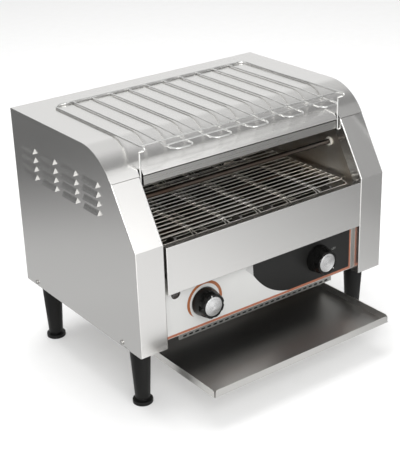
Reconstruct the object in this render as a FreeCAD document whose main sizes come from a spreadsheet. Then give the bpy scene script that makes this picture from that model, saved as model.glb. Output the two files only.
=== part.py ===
import FreeCAD, Part
import math
import os
import Sketcher

# Conveyor toaster. X runs to the right as seen from the front, the front faces -Y and Z is up.
# The origin is on the floor, in the middle of the whole part with its tray at the working place.

# Driving sizes in millimetres, with angles in degrees and plain counts
SIZES = {
    # housing
    "body_width": 468.0,
    "body_depth": 330.0,
    "body_height": 387.0,
    "base_height": 97.0,
    "sheet": 1.0,
    "knee_rise": 163.0,
    "slope_angle": 59.4,
    "cover_radius": 84.0,
    "cover_lap": 14.0,
    "seam_gap": 0.6,
    "pillar_width": 47.0,
    "return_depth": 20.0,
    "overrun": 2.0,
    # louvres of the side panels
    "louvre_length": 38.0,
    "louvre_setback": 85.5,
    "louvre_rear_setback": 29.5,
    "louvre_height": 8.5,
    "louvre_row_pitch": 14.0,
    "louvre_drop": 47.5,
    "louvre_swell": 4.0,
    "louvre_wall": 0.8,
    "louvre_columns": 4,
    "louvre_rows": 4,
    # side screws and the lifting notch
    "screw_rise": 6.0,
    "front_screw_setback": 48.7,
    "rear_screw_setback": 32.9,
    "screw_head_radius": 3.5,
    "screw_head_height": 2.0,
    "screw_radius": 2.0,
    "screw_length": 7.0,
    "notch_setback": 39.3,
    "notch_radius": 11.0,
    "notch_rise": 2.5,
    # base plate, vent rail and partition
    "base_flange": 15.0,
    "base_setback": 21.0,
    "outlet_side_gap": 16.0,
    "outlet_setback": 65.0,
    "outlet_length": 118.0,
    "vent_width": 302.0,
    "vent_drop": 10.5,
    "vent_foot": 15.0,
    "vent_setback": 25.0,
    "vent_slot_length": 7.0,
    "vent_slot_height": 3.0,
    "vent_slot_rise": 1.9,
    "vent_slot_pitch": 11.2,
    "vent_slots": 26,
    "partition_setback": 61.0,
    "partition_gap": 5.0,
    # rear panel
    "rear_slot_length": 60.0,
    "rear_slot_height": 4.0,
    "rear_slot_pitch": 12.0,
    "rear_slots": 6,
    "rear_slot_rise": 60.0,
    "rear_slot_spacing": 220.0,
    # front panel and control panel
    "front_panel_rise": 83.4,
    "front_panel_drop": 6.0,
    "front_gap_left": 4.0,
    "front_gap_right": 0.5,
    "lip_depth": 15.0,
    "lip_drop": 2.0,
    "control_setback": 15.0,
    "control_rise": 4.0,
    "control_height": 99.0,
    "control_fold": 12.0,
    "overlay_thickness": 0.5,
    "overlay_margin": 0.6,
    "overlay_margin_right": 4.0,
    "overlay_height": 77.5,
    # knobs, spindles, switch and lamp
    "knob_inset": 76.0,
    "knob_rise": 45.5,
    "knob_radius": 22.5,
    "knob_nose_radius": 19.0,
    "knob_depth": 23.0,
    "knob_skirt": 3.0,
    "knob_flutes": 8,
    "flute_radius": 6.0,
    "flute_depth": 1.2,
    "flute_length": 9.0,
    "disc_radius": 15.0,
    "disc_thickness": 1.2,
    "disc_play": 0.2,
    "knob_gap": 0.4,
    "spindle_radius": 3.0,
    "spindle_grip": 15.0,
    "dial_bush_radius": 4.8,
    "dial_nut_radius": 7.0,
    "dial_nut_height": 2.5,
    "speed_unit_radius": 13.0,
    "speed_unit_depth": 16.0,
    "switch_width": 34.0,
    "switch_depth": 30.0,
    "lamp_inset": 26.5,
    "lamp_rise": 73.5,
    "lamp_radius": 8.2,
    "lamp_dome": 3.0,
    "lamp_tail_radius": 4.5,
    "lamp_tail": 18.0,
    # chamber
    "roof_drop": 3.16,
    "hood_face": 13.0,
    "lower_reflector_gap": 10.6,
    "lower_reflector_end": 62.0,
    "hood_flange": 22.0,
    "hood_end_gap": 7.0,
    "hood_inset": 1.3,
    "hood_hem": 6.0,
    # wire belt, its shafts and rails
    "belt_pitch": 12.0,
    "belt_wire": 2.0,
    "belt_links": 19,
    "sprocket_teeth": 8,
    "belt_side_gap": 10.0,
    "belt_rise": 156.0,
    "belt_setback": 34.0,
    "belt_columns": 6,
    "belt_jog": 4.0,
    "shaft_radius": 5.0,
    "running_gap": 0.08,
    "shaft_end": 3.0,
    "bush_radius": 8.0,
    "bush_flange_radius": 10.0,
    "bush_flange": 2.0,
    "sprocket_thickness": 4.0,
    "sprocket_boss_radius": 8.0,
    "sprocket_boss": 4.0,
    "tooth_depth": 1.6,
    "tooth_gap": 0.6,
    "rail_width": 18.0,
    "rail_leg": 8.0,
    "rail_gap": 0.3,
    # heaters
    "heater_radius": 4.0,
    "heater_pitch": 66.0,
    "heaters": 3,
    "heater_setback": 75.0,
    "upper_heater_drop": 40.6,
    "heater_tail": 8.0,
    "ceramic_radius": 7.0,
    "ceramic_length": 5.0,
    # toast chute
    "chute_side_gap": 19.0,
    "chute_top_gap": 3.0,
    "chute_radius": 60.0,
    "chute_angle": 20.0,
    "chute_setback": 80.0,
    "chute_end_drop": 31.0,
    "chute_cheek": 12.0,
    "chute_cheek_cut": 6.0,
    # drive
    "motor_rise": 51.3,
    "chain_radius": 14.0,
    "chain_height": 4.0,
    "chain_width": 4.0,
    "chain_wall_gap": 33.0,
    "chain_gap": 0.4,
    "drive_teeth": 12,
    "gear_tooth": 2.4,
    "gear_bore_boss": 7.0,
    "gear_hub": 3.0,
    "gearbox_depth": 28.0,
    "gearbox_width": 42.0,
    "gearbox_height": 52.0,
    "motor_radius": 17.0,
    "motor_length": 62.0,
    "terminal_width": 22.0,
    "terminal_length": 60.0,
    "terminal_height": 20.0,
    "terminal_setback": 46.0,
    "terminal_inset": 10.0,
    # cable gland
    "gland_inset": 23.0,
    "gland_rise": 28.0,
    "gland_radius": 8.0,
    "gland_nut_radius": 12.0,
    "gland_nut": 5.0,
    "gland_bore": 4.5,
    "gland_reach": 15.0,
    # toast tray and its runners
    "tray_reach": 85.0,
    "tray_side_gap": 17.0,
    "tray_length": 330.0,
    "tray_drop": 48.0,
    "tray_wall": 12.0,
    "tray_corner": 5.0,
    "tray_slit": 1.5,
    "runner_setback": 70.0,
    "runner_rear_setback": 15.0,
    "runner_gap": 0.5,
    "runner_flange": 12.0,
    "runner_foot": 16.0,
    # legs and levelling feet
    "leg_top_radius": 16.0,
    "leg_bottom_radius": 11.3,
    "leg_clearance": 9.0,
    "leg_side_inset": 22.6,
    "leg_end_inset": 37.5,
    "leg_bore_depth": 48.0,
    "leg_screw_depth": 10.0,
    "foot_radius": 15.2,
    "foot_height": 6.0,
    "foot_boss_radius": 9.5,
    "foot_boss": 3.0,
    "stud_radius": 4.9,
    "stud_length": 32.0,
    # wire rack
    "rack_wire_radius": 1.6,
    "rack_rail_radius": 1.5,
    "rack_thin_radius": 1.3,
    "rack_side_gap": 3.0,
    "rack_slot_play": 1.5,
    "rack_gap": 0.3,
    "rack_hairpins": 5,
    "rack_wire_pitch": 33.5,
    "rack_pivot_inset": 2.88,
    "rack_pivot_drop": 14.6,
    "rack_pivot_end": 3.5,
    "rack_nose_reach": 19.9,
    "rack_rear_setback": 44.0,
    "rack_rail_setback": 3.6,
    "rack_weld_depth": 0.3,
    "rack_hook_reach": 35.0,
    "rack_dip_setback": 18.0,
    "rack_low_rail_reach": 18.0,
    "rack_nose_rise": 1.8,
    "rack_elbow_drop": 9.0,
    "rack_bend": 4.0,
    "rack_foot_bend": 2.0,
    "rack_nose_bend": 2.2,
    "rack_hook_bend": 10.0,
    "rack_corner": 12.0,
    "rack_pivot_play": 0.09,
}

doc = FreeCAD.newDocument("conveyor_toaster")
sheet_page = doc.addObject("Spreadsheet::Sheet", "sizes")
for row, (alias, value) in enumerate(SIZES.items(), start=1):
    sheet_page.set(f"A{row}", alias)
    sheet_page.set(f"B{row}", str(value))
    sheet_page.setAlias(f"B{row}", alias)
doc.recompute()


class Length:
    """A size worked out from the sheet: its value, and the expression that gives it."""

    def __init__(self, value, text):
        self.value = value
        self.text = text

    def __add__(self, other):
        return Length(self.value + other.value, f"({self.text} + {other.text})")

    def __sub__(self, other):
        return Length(self.value - other.value, f"({self.text} - {other.text})")

    def __neg__(self):
        return Length(-self.value, f"(-{self.text})")

    def __mul__(self, other):
        if isinstance(other, Length):
            return Length(self.value * other.value, f"({self.text} * {other.text})")
        return Length(self.value * other, f"({self.text} * {other})")

    def __truediv__(self, other):
        if isinstance(other, Length):
            return Length(self.value / other.value, f"({self.text} / {other.text})")
        return Length(self.value / other, f"({self.text} / {other})")


def size(alias):
    return Length(float(sheet_page.get(alias)), f"sizes.{alias}")


def count(alias):
    return int(sheet_page.get(alias))


def cosine(alias):
    return Length(math.cos(math.radians(size(alias).value)), f"cos(sizes.{alias} * 1 deg)")


def sine(alias):
    return Length(math.sin(math.radians(size(alias).value)), f"sin(sizes.{alias} * 1 deg)")


ZERO = Length(0.0, "0")

# Places that many pieces share
t = size("sheet")
over = size("overrun")
front = size("tray_reach") - (size("body_depth") + size("tray_reach") + size("gland_reach")) / 2
rear = front + size("body_depth")
side = size("body_width") / 2
base = size("base_height")
top = size("body_height")
knee = base + size("knee_rise")
slope_cos = cosine("slope_angle")
slope_sin = sine("slope_angle")
mitre = (Length(1.0, "1") - slope_sin) / slope_cos
seam_z = top - size("cover_radius") * (Length(1.0, "1") - slope_cos)
seam_y = front + (seam_z - knee) * slope_cos / slope_sin
crown_y = seam_y + size("cover_radius") * slope_sin
pillar_x = side - size("pillar_width")
wall_x = pillar_x + t
roof = seam_z - size("roof_drop")
pitch = size("belt_pitch")
half_wire = size("belt_wire") / 2
pitch_radius = Length(
    pitch.value / (2 * math.sin(math.pi / count("sprocket_teeth"))),
    "(sizes.belt_pitch / (2 * sin(180 deg / sizes.sprocket_teeth)))",
)
belt_top = base + size("belt_rise")
belt_z = belt_top - half_wire - pitch_radius
reflector_z = belt_z - pitch_radius - half_wire - size("lower_reflector_gap") - t


def front_knee(depth):
    """The knee of the front outline, moved inward by a depth."""
    return front + depth, knee - depth * mitre


def pillar_top(depth):
    """The upper end of the sloping pillar, moved inward by a depth."""
    gap = size("seam_gap")
    return (seam_y - gap * slope_cos + depth * slope_sin, seam_z - gap * slope_sin - depth * slope_cos)


# Sketches, pads and the other features that the pieces are made of
def origin_feature(body, role):
    return next(item for item in body.Origin.OriginFeatures if item.Role == role)


def bind(item, name, length):
    item.setExpression(name, length.text)


def arc_between(start, end, radius):
    """An arc from start to end, with its centre to the left of the way for a positive radius."""
    chord = end - start
    middle = (start + end) / 2
    left = FreeCAD.Vector(-chord.y, chord.x, 0).normalize()
    reach = math.sqrt(radius ** 2 - (chord.Length / 2) ** 2)
    centre = middle + left * math.copysign(reach, radius)
    circle = Part.Circle(centre, FreeCAD.Vector(0, 0, 1), abs(radius))
    angles = [math.atan2(p.y - centre.y, p.x - centre.x) for p in (start, end)]
    first, last = angles if radius > 0 else reversed(angles)
    return Part.ArcOfCircle(circle, first, last)


def pin(sketch, index, vertex, corner):
    """Ties a vertex of the sketch to its two coordinates."""
    for kind, coordinate, axis in (("DistanceX", corner[0], -2), ("DistanceY", corner[1], -1)):
        if coordinate is ZERO:
            sketch.addConstraint(Sketcher.Constraint("PointOnObject", index, vertex, axis))
        else:
            rule = Sketcher.Constraint(kind, -1, 1, index, vertex, coordinate.value)
            number = sketch.addConstraint(rule)
            sketch.setExpression(f"Constraints[{number}]", coordinate.text)


def draw_circle(sketch, x, y, radius):
    centre = FreeCAD.Vector(x.value, y.value, 0)
    index = sketch.addGeometry(Part.Circle(centre, FreeCAD.Vector(0, 0, 1), radius.value))
    pin(sketch, index, 3, (x, y))
    number = sketch.addConstraint(Sketcher.Constraint("Radius", index, radius.value))
    sketch.setExpression(f"Constraints[{number}]", radius.text)


def draw_loop(sketch, corners):
    """A closed outline. A corner's third item is the radius of the arc that leaves it."""
    points = [FreeCAD.Vector(corner[0].value, corner[1].value, 0) for corner in corners]
    edges = []
    for number, corner in enumerate(corners):
        start, end = points[number], points[(number + 1) % len(points)]
        if len(corner) == 3:
            index = sketch.addGeometry(arc_between(start, end, corner[2].value))
            reverse = corner[2].value < 0
        else:
            index = sketch.addGeometry(Part.LineSegment(start, end))
            reverse = False
        edges.append((index, 2, 1) if reverse else (index, 1, 2))
    for number, (index, vertex, _) in enumerate(edges):
        before = edges[number - 1]
        sketch.addConstraint(Sketcher.Constraint("Coincident", before[0], before[2], index, vertex))
        pin(sketch, index, vertex, corners[number])
    for number, corner in enumerate(corners):
        if len(corner) == 3:
            radius = corner[2] if corner[2].value > 0 else -corner[2]
            rule = Sketcher.Constraint("Radius", edges[number][0], radius.value)
            datum = sketch.addConstraint(rule)
            sketch.setExpression(f"Constraints[{datum}]", radius.text)


def circle(x, y, radius):
    return "circle", x, y, radius


def rectangle(low_x, low_y, high_x, high_y):
    return [(low_x, low_y), (high_x, low_y), (high_x, high_y), (low_x, high_y)]


def new_sketch(body, plane, place, loops):
    sketch = body.newObject("Sketcher::SketchObject", "profile")
    sketch.AttachmentSupport = (origin_feature(body, plane), [""])
    sketch.MapMode = "FlatFace"
    if place is not ZERO:
        offset = -place if plane == "XZ_Plane" else place
        bind(sketch, "AttachmentOffset.Base.z", offset)
    for loop in loops:
        if loop[0] == "circle":
            draw_circle(sketch, *loop[1:])
        else:
            draw_loop(sketch, loop)
    return sketch


def new_body(name):
    body = doc.addObject("PartDesign::Body", name)
    body.Label = name
    body.AllowCompound = True
    return body


def pad(body, plane, place, depth, *loops):
    """Material from the plane's place on along its positive axis: sketch X, Y is Y, Z or X, Z or X, Y."""
    feature = body.newObject("PartDesign::Pad", "pad")
    feature.Profile = new_sketch(body, plane, place, loops)
    feature.Reversed = plane == "XZ_Plane"
    bind(feature, "Length", depth)
    return feature


def pocket(body, plane, place, depth, *loops):
    """A cut from the plane's place on along its positive axis."""
    feature = body.newObject("PartDesign::Pocket", "pocket")
    feature.Profile = new_sketch(body, plane, place, loops)
    feature.Reversed = plane != "XZ_Plane"
    bind(feature, "Length", depth)
    return feature


def revolve(body, plane, axis, loop):
    feature = body.newObject("PartDesign::Revolution", "turning")
    sketch = new_sketch(body, plane, ZERO, [loop])
    feature.Profile = sketch
    feature.ReferenceAxis = (sketch, [axis])
    return feature


def repeat(body, features, axis, step, copies):
    pattern = body.newObject("PartDesign::LinearPattern", "row")
    pattern.Originals = features
    pattern.Direction = (origin_feature(body, axis), [""])
    bind(pattern, "Length", step * (copies - 1))
    pattern.Occurrences = copies
    body.Tip = pattern
    return pattern


def ring(body, features, axis, copies):
    pattern = body.newObject("PartDesign::PolarPattern", "ring")
    pattern.Originals = features
    pattern.Axis = (origin_feature(body, axis), [""])
    pattern.Angle = 360
    pattern.Occurrences = copies
    body.Tip = pattern
    return pattern


def place(item, x=ZERO, y=ZERO, z=ZERO):
    for axis, coordinate in (("x", x), ("y", y), ("z", z)):
        if coordinate is not ZERO:
            bind(item, f"Placement.Base.{axis}", coordinate)


# Side panels: a flat side with louvres, folded round the front into a pillar with a return
pivot_y = seam_y + size("rack_pivot_inset")
pivot_z = roof - size("rack_pivot_drop")
pivot_hole = size("rack_wire_radius") + size("rack_pivot_play")
rack_x = pillar_x - size("rack_side_gap")
slot_half = size("rack_wire_radius") + size("rack_slot_play")
slot_end = pivot_y + slot_half


def span(hand, inner, outer):
    """The low end and the length of a stretch of X between two distances from the middle."""
    low = inner if hand > 0 else -outer
    return low, outer - inner


def side_panel(name, hand):
    body = new_body(name)
    inner = side - t
    top_inset = top - t
    slope_start = pillar_top(ZERO)
    outline = [
        (front, base),
        (rear, base),
        (rear, top_inset),
        (crown_y, top_inset, size("cover_radius") - t),
        (seam_y + t * slope_sin, seam_z - t * slope_cos),
        slope_start,
        (front, knee),
    ]
    low, width = span(hand, inner, side)
    pad(body, "YZ_Plane", low, width, outline)
    fold = [slope_start, (front, knee), (front, base), (front + t, base), front_knee(t), pillar_top(t)]
    low, width = span(hand, pillar_x, inner)
    pad(body, "YZ_Plane", low, width, fold)
    depth = size("return_depth")
    turned_in = [
        slope_start, (front, knee), (front, base),
        (front + depth, base), front_knee(depth), pillar_top(depth),
    ]
    low, width = span(hand, pillar_x, wall_x)
    pad(body, "YZ_Plane", low, width, turned_in)
    pocket(body, "YZ_Plane", low - over, width + over * 2, circle(pivot_y, pivot_z, pivot_hole))
    low, width = span(hand, inner, side)
    notch_z = base + size("notch_rise") - size("notch_radius")
    notch = circle(front + size("notch_setback"), notch_z, size("notch_radius"))
    screw_z = base + size("screw_rise")
    bolt = size("screw_radius") + size("running_gap")
    holes = [
        circle(front + size("front_screw_setback"), screw_z, bolt),
        circle(rear - size("rear_screw_setback"), screw_z, bolt),
    ]
    pocket(body, "YZ_Plane", low - over, width + over * 2, notch, *holes)
    louvres(body, hand)
    return body


def louvres(body, hand):
    """Pressed hoods that open downward, four in a row along Y and one row above the other."""
    skin = size("louvre_wall")
    swell = size("louvre_swell")
    outer, inner = (side, side - t) if hand > 0 else (-side, -(side - t))
    tip = outer + swell if hand > 0 else outer - swell
    tip_inside = tip - skin if hand > 0 else tip + skin
    beyond = inner - over if hand > 0 else inner + over
    hoods = []
    throats = []
    for row in range(count("louvre_rows")):
        high = top - size("louvre_drop") - size("louvre_row_pitch") * row
        low = high - size("louvre_height")
        hoods.append([(inner, high), (outer, high), (tip, low + skin), (tip, low), (inner, low)])
        throats.append([
            (beyond, high - skin), (outer, high - skin), (tip_inside, low + skin), (tip_inside, low - over),
            (outer, low - over), (outer, low), (beyond, low),
        ])
    start = front + size("louvre_setback")
    pressed = pad(body, "XZ_Plane", start, size("louvre_length"), *hoods)
    opened = pocket(body, "XZ_Plane", start + skin, size("louvre_length") - skin * 2, *throats)
    columns = count("louvre_columns")
    last = rear - size("louvre_rear_setback") - size("louvre_length")
    repeat(body, [pressed, opened], "Y_Axis", (last - start) / (columns - 1), columns)


side_panel("side_panel_left", -1)
side_panel("side_panel_right", 1)


# Top cover: one sheet from the rear edge over the crown to the seam, with a lap down the back and two
# slots in its front edge that let the arms of the rack through
def top_cover():
    body = new_body("top_cover")
    radius = size("cover_radius")
    skin = [
        (rear, top),
        (crown_y, top, radius),
        (seam_y, seam_z),
        (seam_y + t * slope_sin, seam_z - t * slope_cos, -(radius - t)),
        (crown_y, top - t),
        (rear, top - t),
    ]
    pad(body, "YZ_Plane", -side, side * 2, skin)
    lap = rectangle(rear - t, top - size("cover_lap"), rear, top - t)
    pad(body, "YZ_Plane", -(side - t), (side - t) * 2, lap)
    for hand in (-1, 1):
        low, width = span(hand, rack_x - slot_half, rack_x + slot_half)
        slot = rectangle(seam_y - over, seam_z - over, slot_end, top)
        pocket(body, "YZ_Plane", low, width, slot)
    return body


top_cover()


# Rear panel: flat, with two banks of slots and the hole of the cable gland
def rear_panel():
    body = new_body("rear_panel")
    half = side - t
    gland_bore = size("gland_radius") + size("running_gap")
    gland_hole = circle(-(side - size("gland_inset")), base + size("gland_rise"), gland_bore)
    pad(body, "XZ_Plane", rear - t * 2, t, rectangle(-half, base, half, top - t), gland_hole)
    reach = size("rear_slot_length") / 2
    low = base + size("rear_slot_rise")
    banks = []
    for hand in (-1, 1):
        middle = size("rear_slot_spacing") / 2 * hand
        banks.append(rectangle(middle - reach, low, middle + reach, low + size("rear_slot_height")))
    slots = pocket(body, "XZ_Plane", rear - t * 2 - over, t + over * 2, *banks)
    repeat(body, [slots], "Z_Axis", size("rear_slot_pitch"), count("rear_slots"))
    return body


rear_panel()


# Base plate: a shallow pan with turned-up sides and the hole that the toast drops through
def base_plate():
    body = new_body("base_plate")
    half = side - t
    low_y = front + size("base_setback")
    high_y = rear - t * 2
    outlet_y = front + size("outlet_setback")
    outlet_half = wall_x - size("outlet_side_gap")
    outlet = rectangle(-outlet_half, outlet_y, outlet_half, outlet_y + size("outlet_length"))
    bolt = size("screw_radius") + size("running_gap")
    stations = [low_y - size("base_setback") + size("leg_end_inset"), rear - size("leg_end_inset")]
    leg_holes = []
    for hand in (-1, 1):
        for station in stations:
            leg_holes.append(circle((side - size("leg_side_inset")) * hand, station, bolt))
    pad(body, "XY_Plane", base, t, rectangle(-half, low_y, half, high_y), outlet, *leg_holes)
    screws = [
        circle(front + size("front_screw_setback"), base + size("screw_rise"), bolt),
        circle(rear - size("rear_screw_setback"), base + size("screw_rise"), bolt),
    ]
    fold = rectangle(low_y, base + t, high_y, base + size("base_flange"))
    for hand in (-1, 1):
        low, width = span(hand, half - t, half)
        pad(body, "YZ_Plane", low, width, fold, *screws)
    return body


base_plate()


# Vent rail: an angle under the base with a row of slots in its hanging leg
def vent_rail():
    body = new_body("vent_rail")
    half = size("vent_width") / 2
    y = front + size("vent_setback")
    low = base - size("vent_drop")
    pad(body, "XZ_Plane", y, t, rectangle(-half, low, half, base))
    pad(body, "XY_Plane", base - t, t, rectangle(-half, y + t, half, y + t + size("vent_foot")))
    pitch = size("vent_slot_pitch")
    first = -(pitch * (count("vent_slots") - 1) + size("vent_slot_length")) / 2
    height = low + size("vent_slot_rise")
    slot = rectangle(first, height, first + size("vent_slot_length"), height + size("vent_slot_height"))
    cut = pocket(body, "XZ_Plane", y - over, t + over * 2, slot)
    repeat(body, [cut], "X_Axis", pitch, count("vent_slots"))
    return body


vent_rail()


# Partition: the wall between the control space and the hot chute, folded forward at its foot
def partition():
    body = new_body("partition")
    y = front + size("partition_setback")
    high = reflector_z - size("partition_gap")
    pad(body, "XZ_Plane", y, t, rectangle(-wall_x, base + t, wall_x, high))
    fold_y = y - size("control_fold")
    pad(body, "XY_Plane", base + t, t, rectangle(-wall_x, fold_y, wall_x, y))
    return body


partition()


# Front panel: a pan that stands proud of the controls, its upper edge folded in towards the belt
def front_panel():
    body = new_body("front_panel")
    left = -(pillar_x - size("front_gap_left"))
    right = pillar_x - size("front_gap_right")
    low = base + size("front_panel_rise")
    high = knee - size("front_panel_drop")
    lip_y = front + size("lip_depth")
    lip_z = high - size("lip_drop")
    face = [
        (front, low), (front + t, low), (front + t, high - t),
        (lip_y, lip_z - t), (lip_y, lip_z), (front, high),
    ]
    pad(body, "YZ_Plane", left, right - left, face)
    back = front + size("control_setback")
    cheek = [(front + t, low), (back, low), (back, lip_z - t * 2), (lip_y, lip_z - t), (front + t, high - t)]
    pad(body, "YZ_Plane", left, t, cheek)
    pad(body, "YZ_Plane", right - t, t, cheek)
    return body


front_panel()

# Control panel: a flat plate between the pillars, with its lower edge folded back
control_y = front + size("control_setback")
control_low = base + size("control_rise")
knob_x = pillar_x - size("knob_inset")
knob_z = base + size("knob_rise")
lamp_x = -(pillar_x - size("lamp_inset"))
lamp_z = base + size("lamp_rise")


def dial_holes(play):
    holes = [circle(knob_x * hand, knob_z, size("dial_bush_radius") + play) for hand in (-1, 1)]
    holes.append(circle(lamp_x, lamp_z, size("lamp_tail_radius") + play))
    return holes


def control_panel():
    body = new_body("control_panel")
    high = control_low + size("control_height")
    plate = rectangle(-pillar_x, control_low, pillar_x, high)
    pad(body, "XZ_Plane", control_y, t, plate, *dial_holes(size("running_gap")))
    fold_y = control_y + t
    fold = rectangle(-pillar_x, fold_y, pillar_x, fold_y + size("control_fold"))
    pad(body, "XY_Plane", control_low, t, fold)
    return body


def control_overlay():
    body = new_body("control_overlay")
    margin = size("overlay_margin")
    sheet_outline = rectangle(
        -(pillar_x - margin), control_low + margin,
        pillar_x - size("overlay_margin_right"), control_low + size("overlay_height"),
    )
    thickness = size("overlay_thickness")
    pad(body, "XZ_Plane", control_y - thickness, thickness, sheet_outline, *dial_holes(size("running_gap")))
    return body


control_panel()
control_overlay()

# Knobs: a tapered fluted cap with a skirt, a spun metal disc let into its nose, and a spindle
overlay_y = control_y - size("overlay_thickness")
knob_base_y = overlay_y - size("knob_gap")


def knob(name, hand):
    body = new_body(name)
    depth = size("knob_depth")
    disc_y = -(depth - size("disc_thickness"))
    seat = size("disc_radius") + size("disc_play") / 2
    bore_end = -size("spindle_grip")
    bore = size("spindle_radius")
    nut = size("dial_nut_radius") + size("disc_play") * 2
    nut_end = -(size("dial_nut_height") + size("disc_play"))
    profile = [
        (ZERO, nut),
        (ZERO, size("knob_radius")),
        (-size("knob_skirt"), size("knob_radius")),
        (-depth, size("knob_nose_radius")),
        (-depth, seat),
        (disc_y, seat),
        (disc_y, ZERO),
        (bore_end, ZERO),
        (bore_end, bore),
        (nut_end, bore),
        (nut_end, nut),
    ]
    revolve(body, "YZ_Plane", "H_Axis", profile)
    flute = circle(
        size("knob_nose_radius") + size("flute_radius") - size("flute_depth"), ZERO, size("flute_radius"),
    )
    groove = pocket(body, "XZ_Plane", -(depth + over), size("flute_length") + over, flute)
    ring(body, [groove], "Y_Axis", count("knob_flutes"))
    place(body, knob_x * hand, knob_base_y, knob_z)
    return body


def knob_disc(name, hand):
    body = new_body(name)
    depth = size("disc_thickness")
    pad(body, "XZ_Plane", -size("knob_depth"), depth, circle(ZERO, ZERO, size("disc_radius")))
    place(body, knob_x * hand, knob_base_y, knob_z)
    return body


def spindle(name, hand, tail):
    body = new_body(name)
    grip = -size("spindle_grip")
    pad(body, "XZ_Plane", grip, tail - grip, circle(ZERO, ZERO, size("spindle_radius")))
    place(body, knob_x * hand, knob_base_y, knob_z)
    return body


knob("speed_knob", -1)
knob("heat_knob", 1)
knob_disc("speed_knob_disc", -1)
knob_disc("heat_knob_disc", 1)

# Speed regulator and heat selector: each body hangs behind the panel on a threaded bush and nut
bush_front = overlay_y - size("dial_nut_height")
unit_y = control_y + t
spindle_tail = unit_y - knob_base_y + size("speed_unit_depth") / 2


def dial_unit(name, hand, outline, depth):
    body = new_body(name)
    spindle_hole = circle(ZERO, ZERO, size("spindle_radius") + size("running_gap"))
    pad(body, "XZ_Plane", unit_y, depth, outline)
    bush = circle(ZERO, ZERO, size("dial_bush_radius"))
    pad(body, "XZ_Plane", overlay_y, unit_y - overlay_y, bush)
    pad(body, "XZ_Plane", bush_front, size("dial_nut_height"), circle(ZERO, ZERO, size("dial_nut_radius")))
    hole_end = knob_base_y + spindle_tail + size("running_gap")
    pocket(body, "XZ_Plane", bush_front - over, hole_end - bush_front + over, spindle_hole)
    place(body, knob_x * hand, ZERO, knob_z)
    return body


spindle("speed_spindle", -1, spindle_tail)
spindle("heat_spindle", 1, spindle_tail)
dial_unit("speed_regulator", -1, circle(ZERO, ZERO, size("speed_unit_radius")), size("speed_unit_depth"))
switch_half = size("switch_width") / 2
switch_outline = rectangle(-switch_half, -switch_half, switch_half, switch_half)
dial_unit("heat_selector", 1, switch_outline, size("switch_depth"))


# Indicator lamp: a domed lens on the panel with its body behind
def indicator_lamp():
    body = new_body("indicator_lamp")
    radius = size("lamp_radius")
    dome = size("lamp_dome")
    crown = (radius * radius + dome * dome) / (dome * 2)
    rim = overlay_y
    profile = [
        (rim + size("lamp_tail"), ZERO),
        (rim + size("lamp_tail"), size("lamp_tail_radius")),
        (rim, size("lamp_tail_radius")),
        (rim, radius, crown),
        (rim - dome, ZERO),
    ]
    revolve(body, "YZ_Plane", "H_Axis", profile)
    place(body, lamp_x, ZERO, lamp_z)
    return body


indicator_lamp()

# Wire belt: wires across the width, one pitch apart, each stepped over to the next at the joints
belt_width = (wall_x - size("belt_side_gap")) * 2
idler_y = front + size("belt_setback")
drive_y = idler_y + pitch * count("belt_links")
wrap_links = count("sprocket_teeth") // 2


def turned(radius, angle):
    """A point at an angle from +Y towards +Z, at a radius."""
    cos_part = Length(math.cos(math.radians(angle)), f"cos({angle} deg)")
    sin_part = Length(math.sin(math.radians(angle)), f"sin({angle} deg)")
    return radius * cos_part, radius * sin_part


def belt_line(offset):
    """The belt's closed line, its corners at the wires that lie round the sprockets."""
    step = 180 / wrap_links
    reach = Length(1 / math.cos(math.radians(step / 2)), f"(1 / cos({step / 2} deg))")
    corners = []
    for centre, first in ((drive_y, 90), (idler_y, 270)):
        for number in range(wrap_links + 1):
            angle = first - step * number
            y, z = turned(pitch_radius, angle)
            end = number in (0, wrap_links)
            if end:
                slip = offset * Length(math.tan(math.radians(step / 4)), f"tan({step / 4} deg)")
                outward = 1 if first == 90 else -1
                rise = 1 if (number == 0) == (first == 90) else -1
                corners.append((centre + y + slip * outward, belt_z + z + offset * rise))
            else:
                dy, dz = turned(offset * reach, angle)
                corners.append((centre + y + dy, belt_z + z + dz))
    return corners


def belt_windows(low, high):
    """The openings between two wires, their ends aslant along the jogs."""
    width = belt_width
    column = width / count("belt_columns")
    jog = size("belt_jog") / 2
    loops = []
    for number in range(count("belt_columns")):
        left = -width / 2 + column * number
        left_wall = half_wire * 2 if number == 0 else half_wire
        right_wall = half_wire * 2 if number == count("belt_columns") - 1 else half_wire
        left_jog = ZERO if number == 0 else jog
        right_jog = ZERO if number == count("belt_columns") - 1 else jog
        right = left + column
        loops.append([
            (left + left_wall - left_jog, low), (right - right_wall - right_jog, low),
            (right - right_wall + right_jog, high), (left + left_wall + left_jog, high),
        ])
    return loops


def conveyor_belt():
    body = new_body("conveyor_belt")
    pad(body, "YZ_Plane", -belt_width / 2, belt_width, belt_line(half_wire), belt_line(-half_wire))
    low = belt_z - pitch_radius - over
    windows = belt_windows(idler_y + half_wire, idler_y + pitch - half_wire)
    cut = pocket(body, "XY_Plane", low, pitch_radius * 2 + over * 2, *windows)
    repeat(body, [cut], "Y_Axis", pitch, count("belt_links"))
    apothem = Length(
        pitch.value / (2 * math.tan(math.pi / count("sprocket_teeth"))),
        "(sizes.belt_pitch / (2 * tan(180 deg / sizes.sprocket_teeth)))",
    )
    step = 180 / wrap_links
    for centre, first in ((drive_y, 90), (idler_y, 270)):
        for number in range(wrap_links):
            angle = first - step * (number + 0.5)
            facet_windows(body, centre, angle, apothem)
    return body


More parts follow.
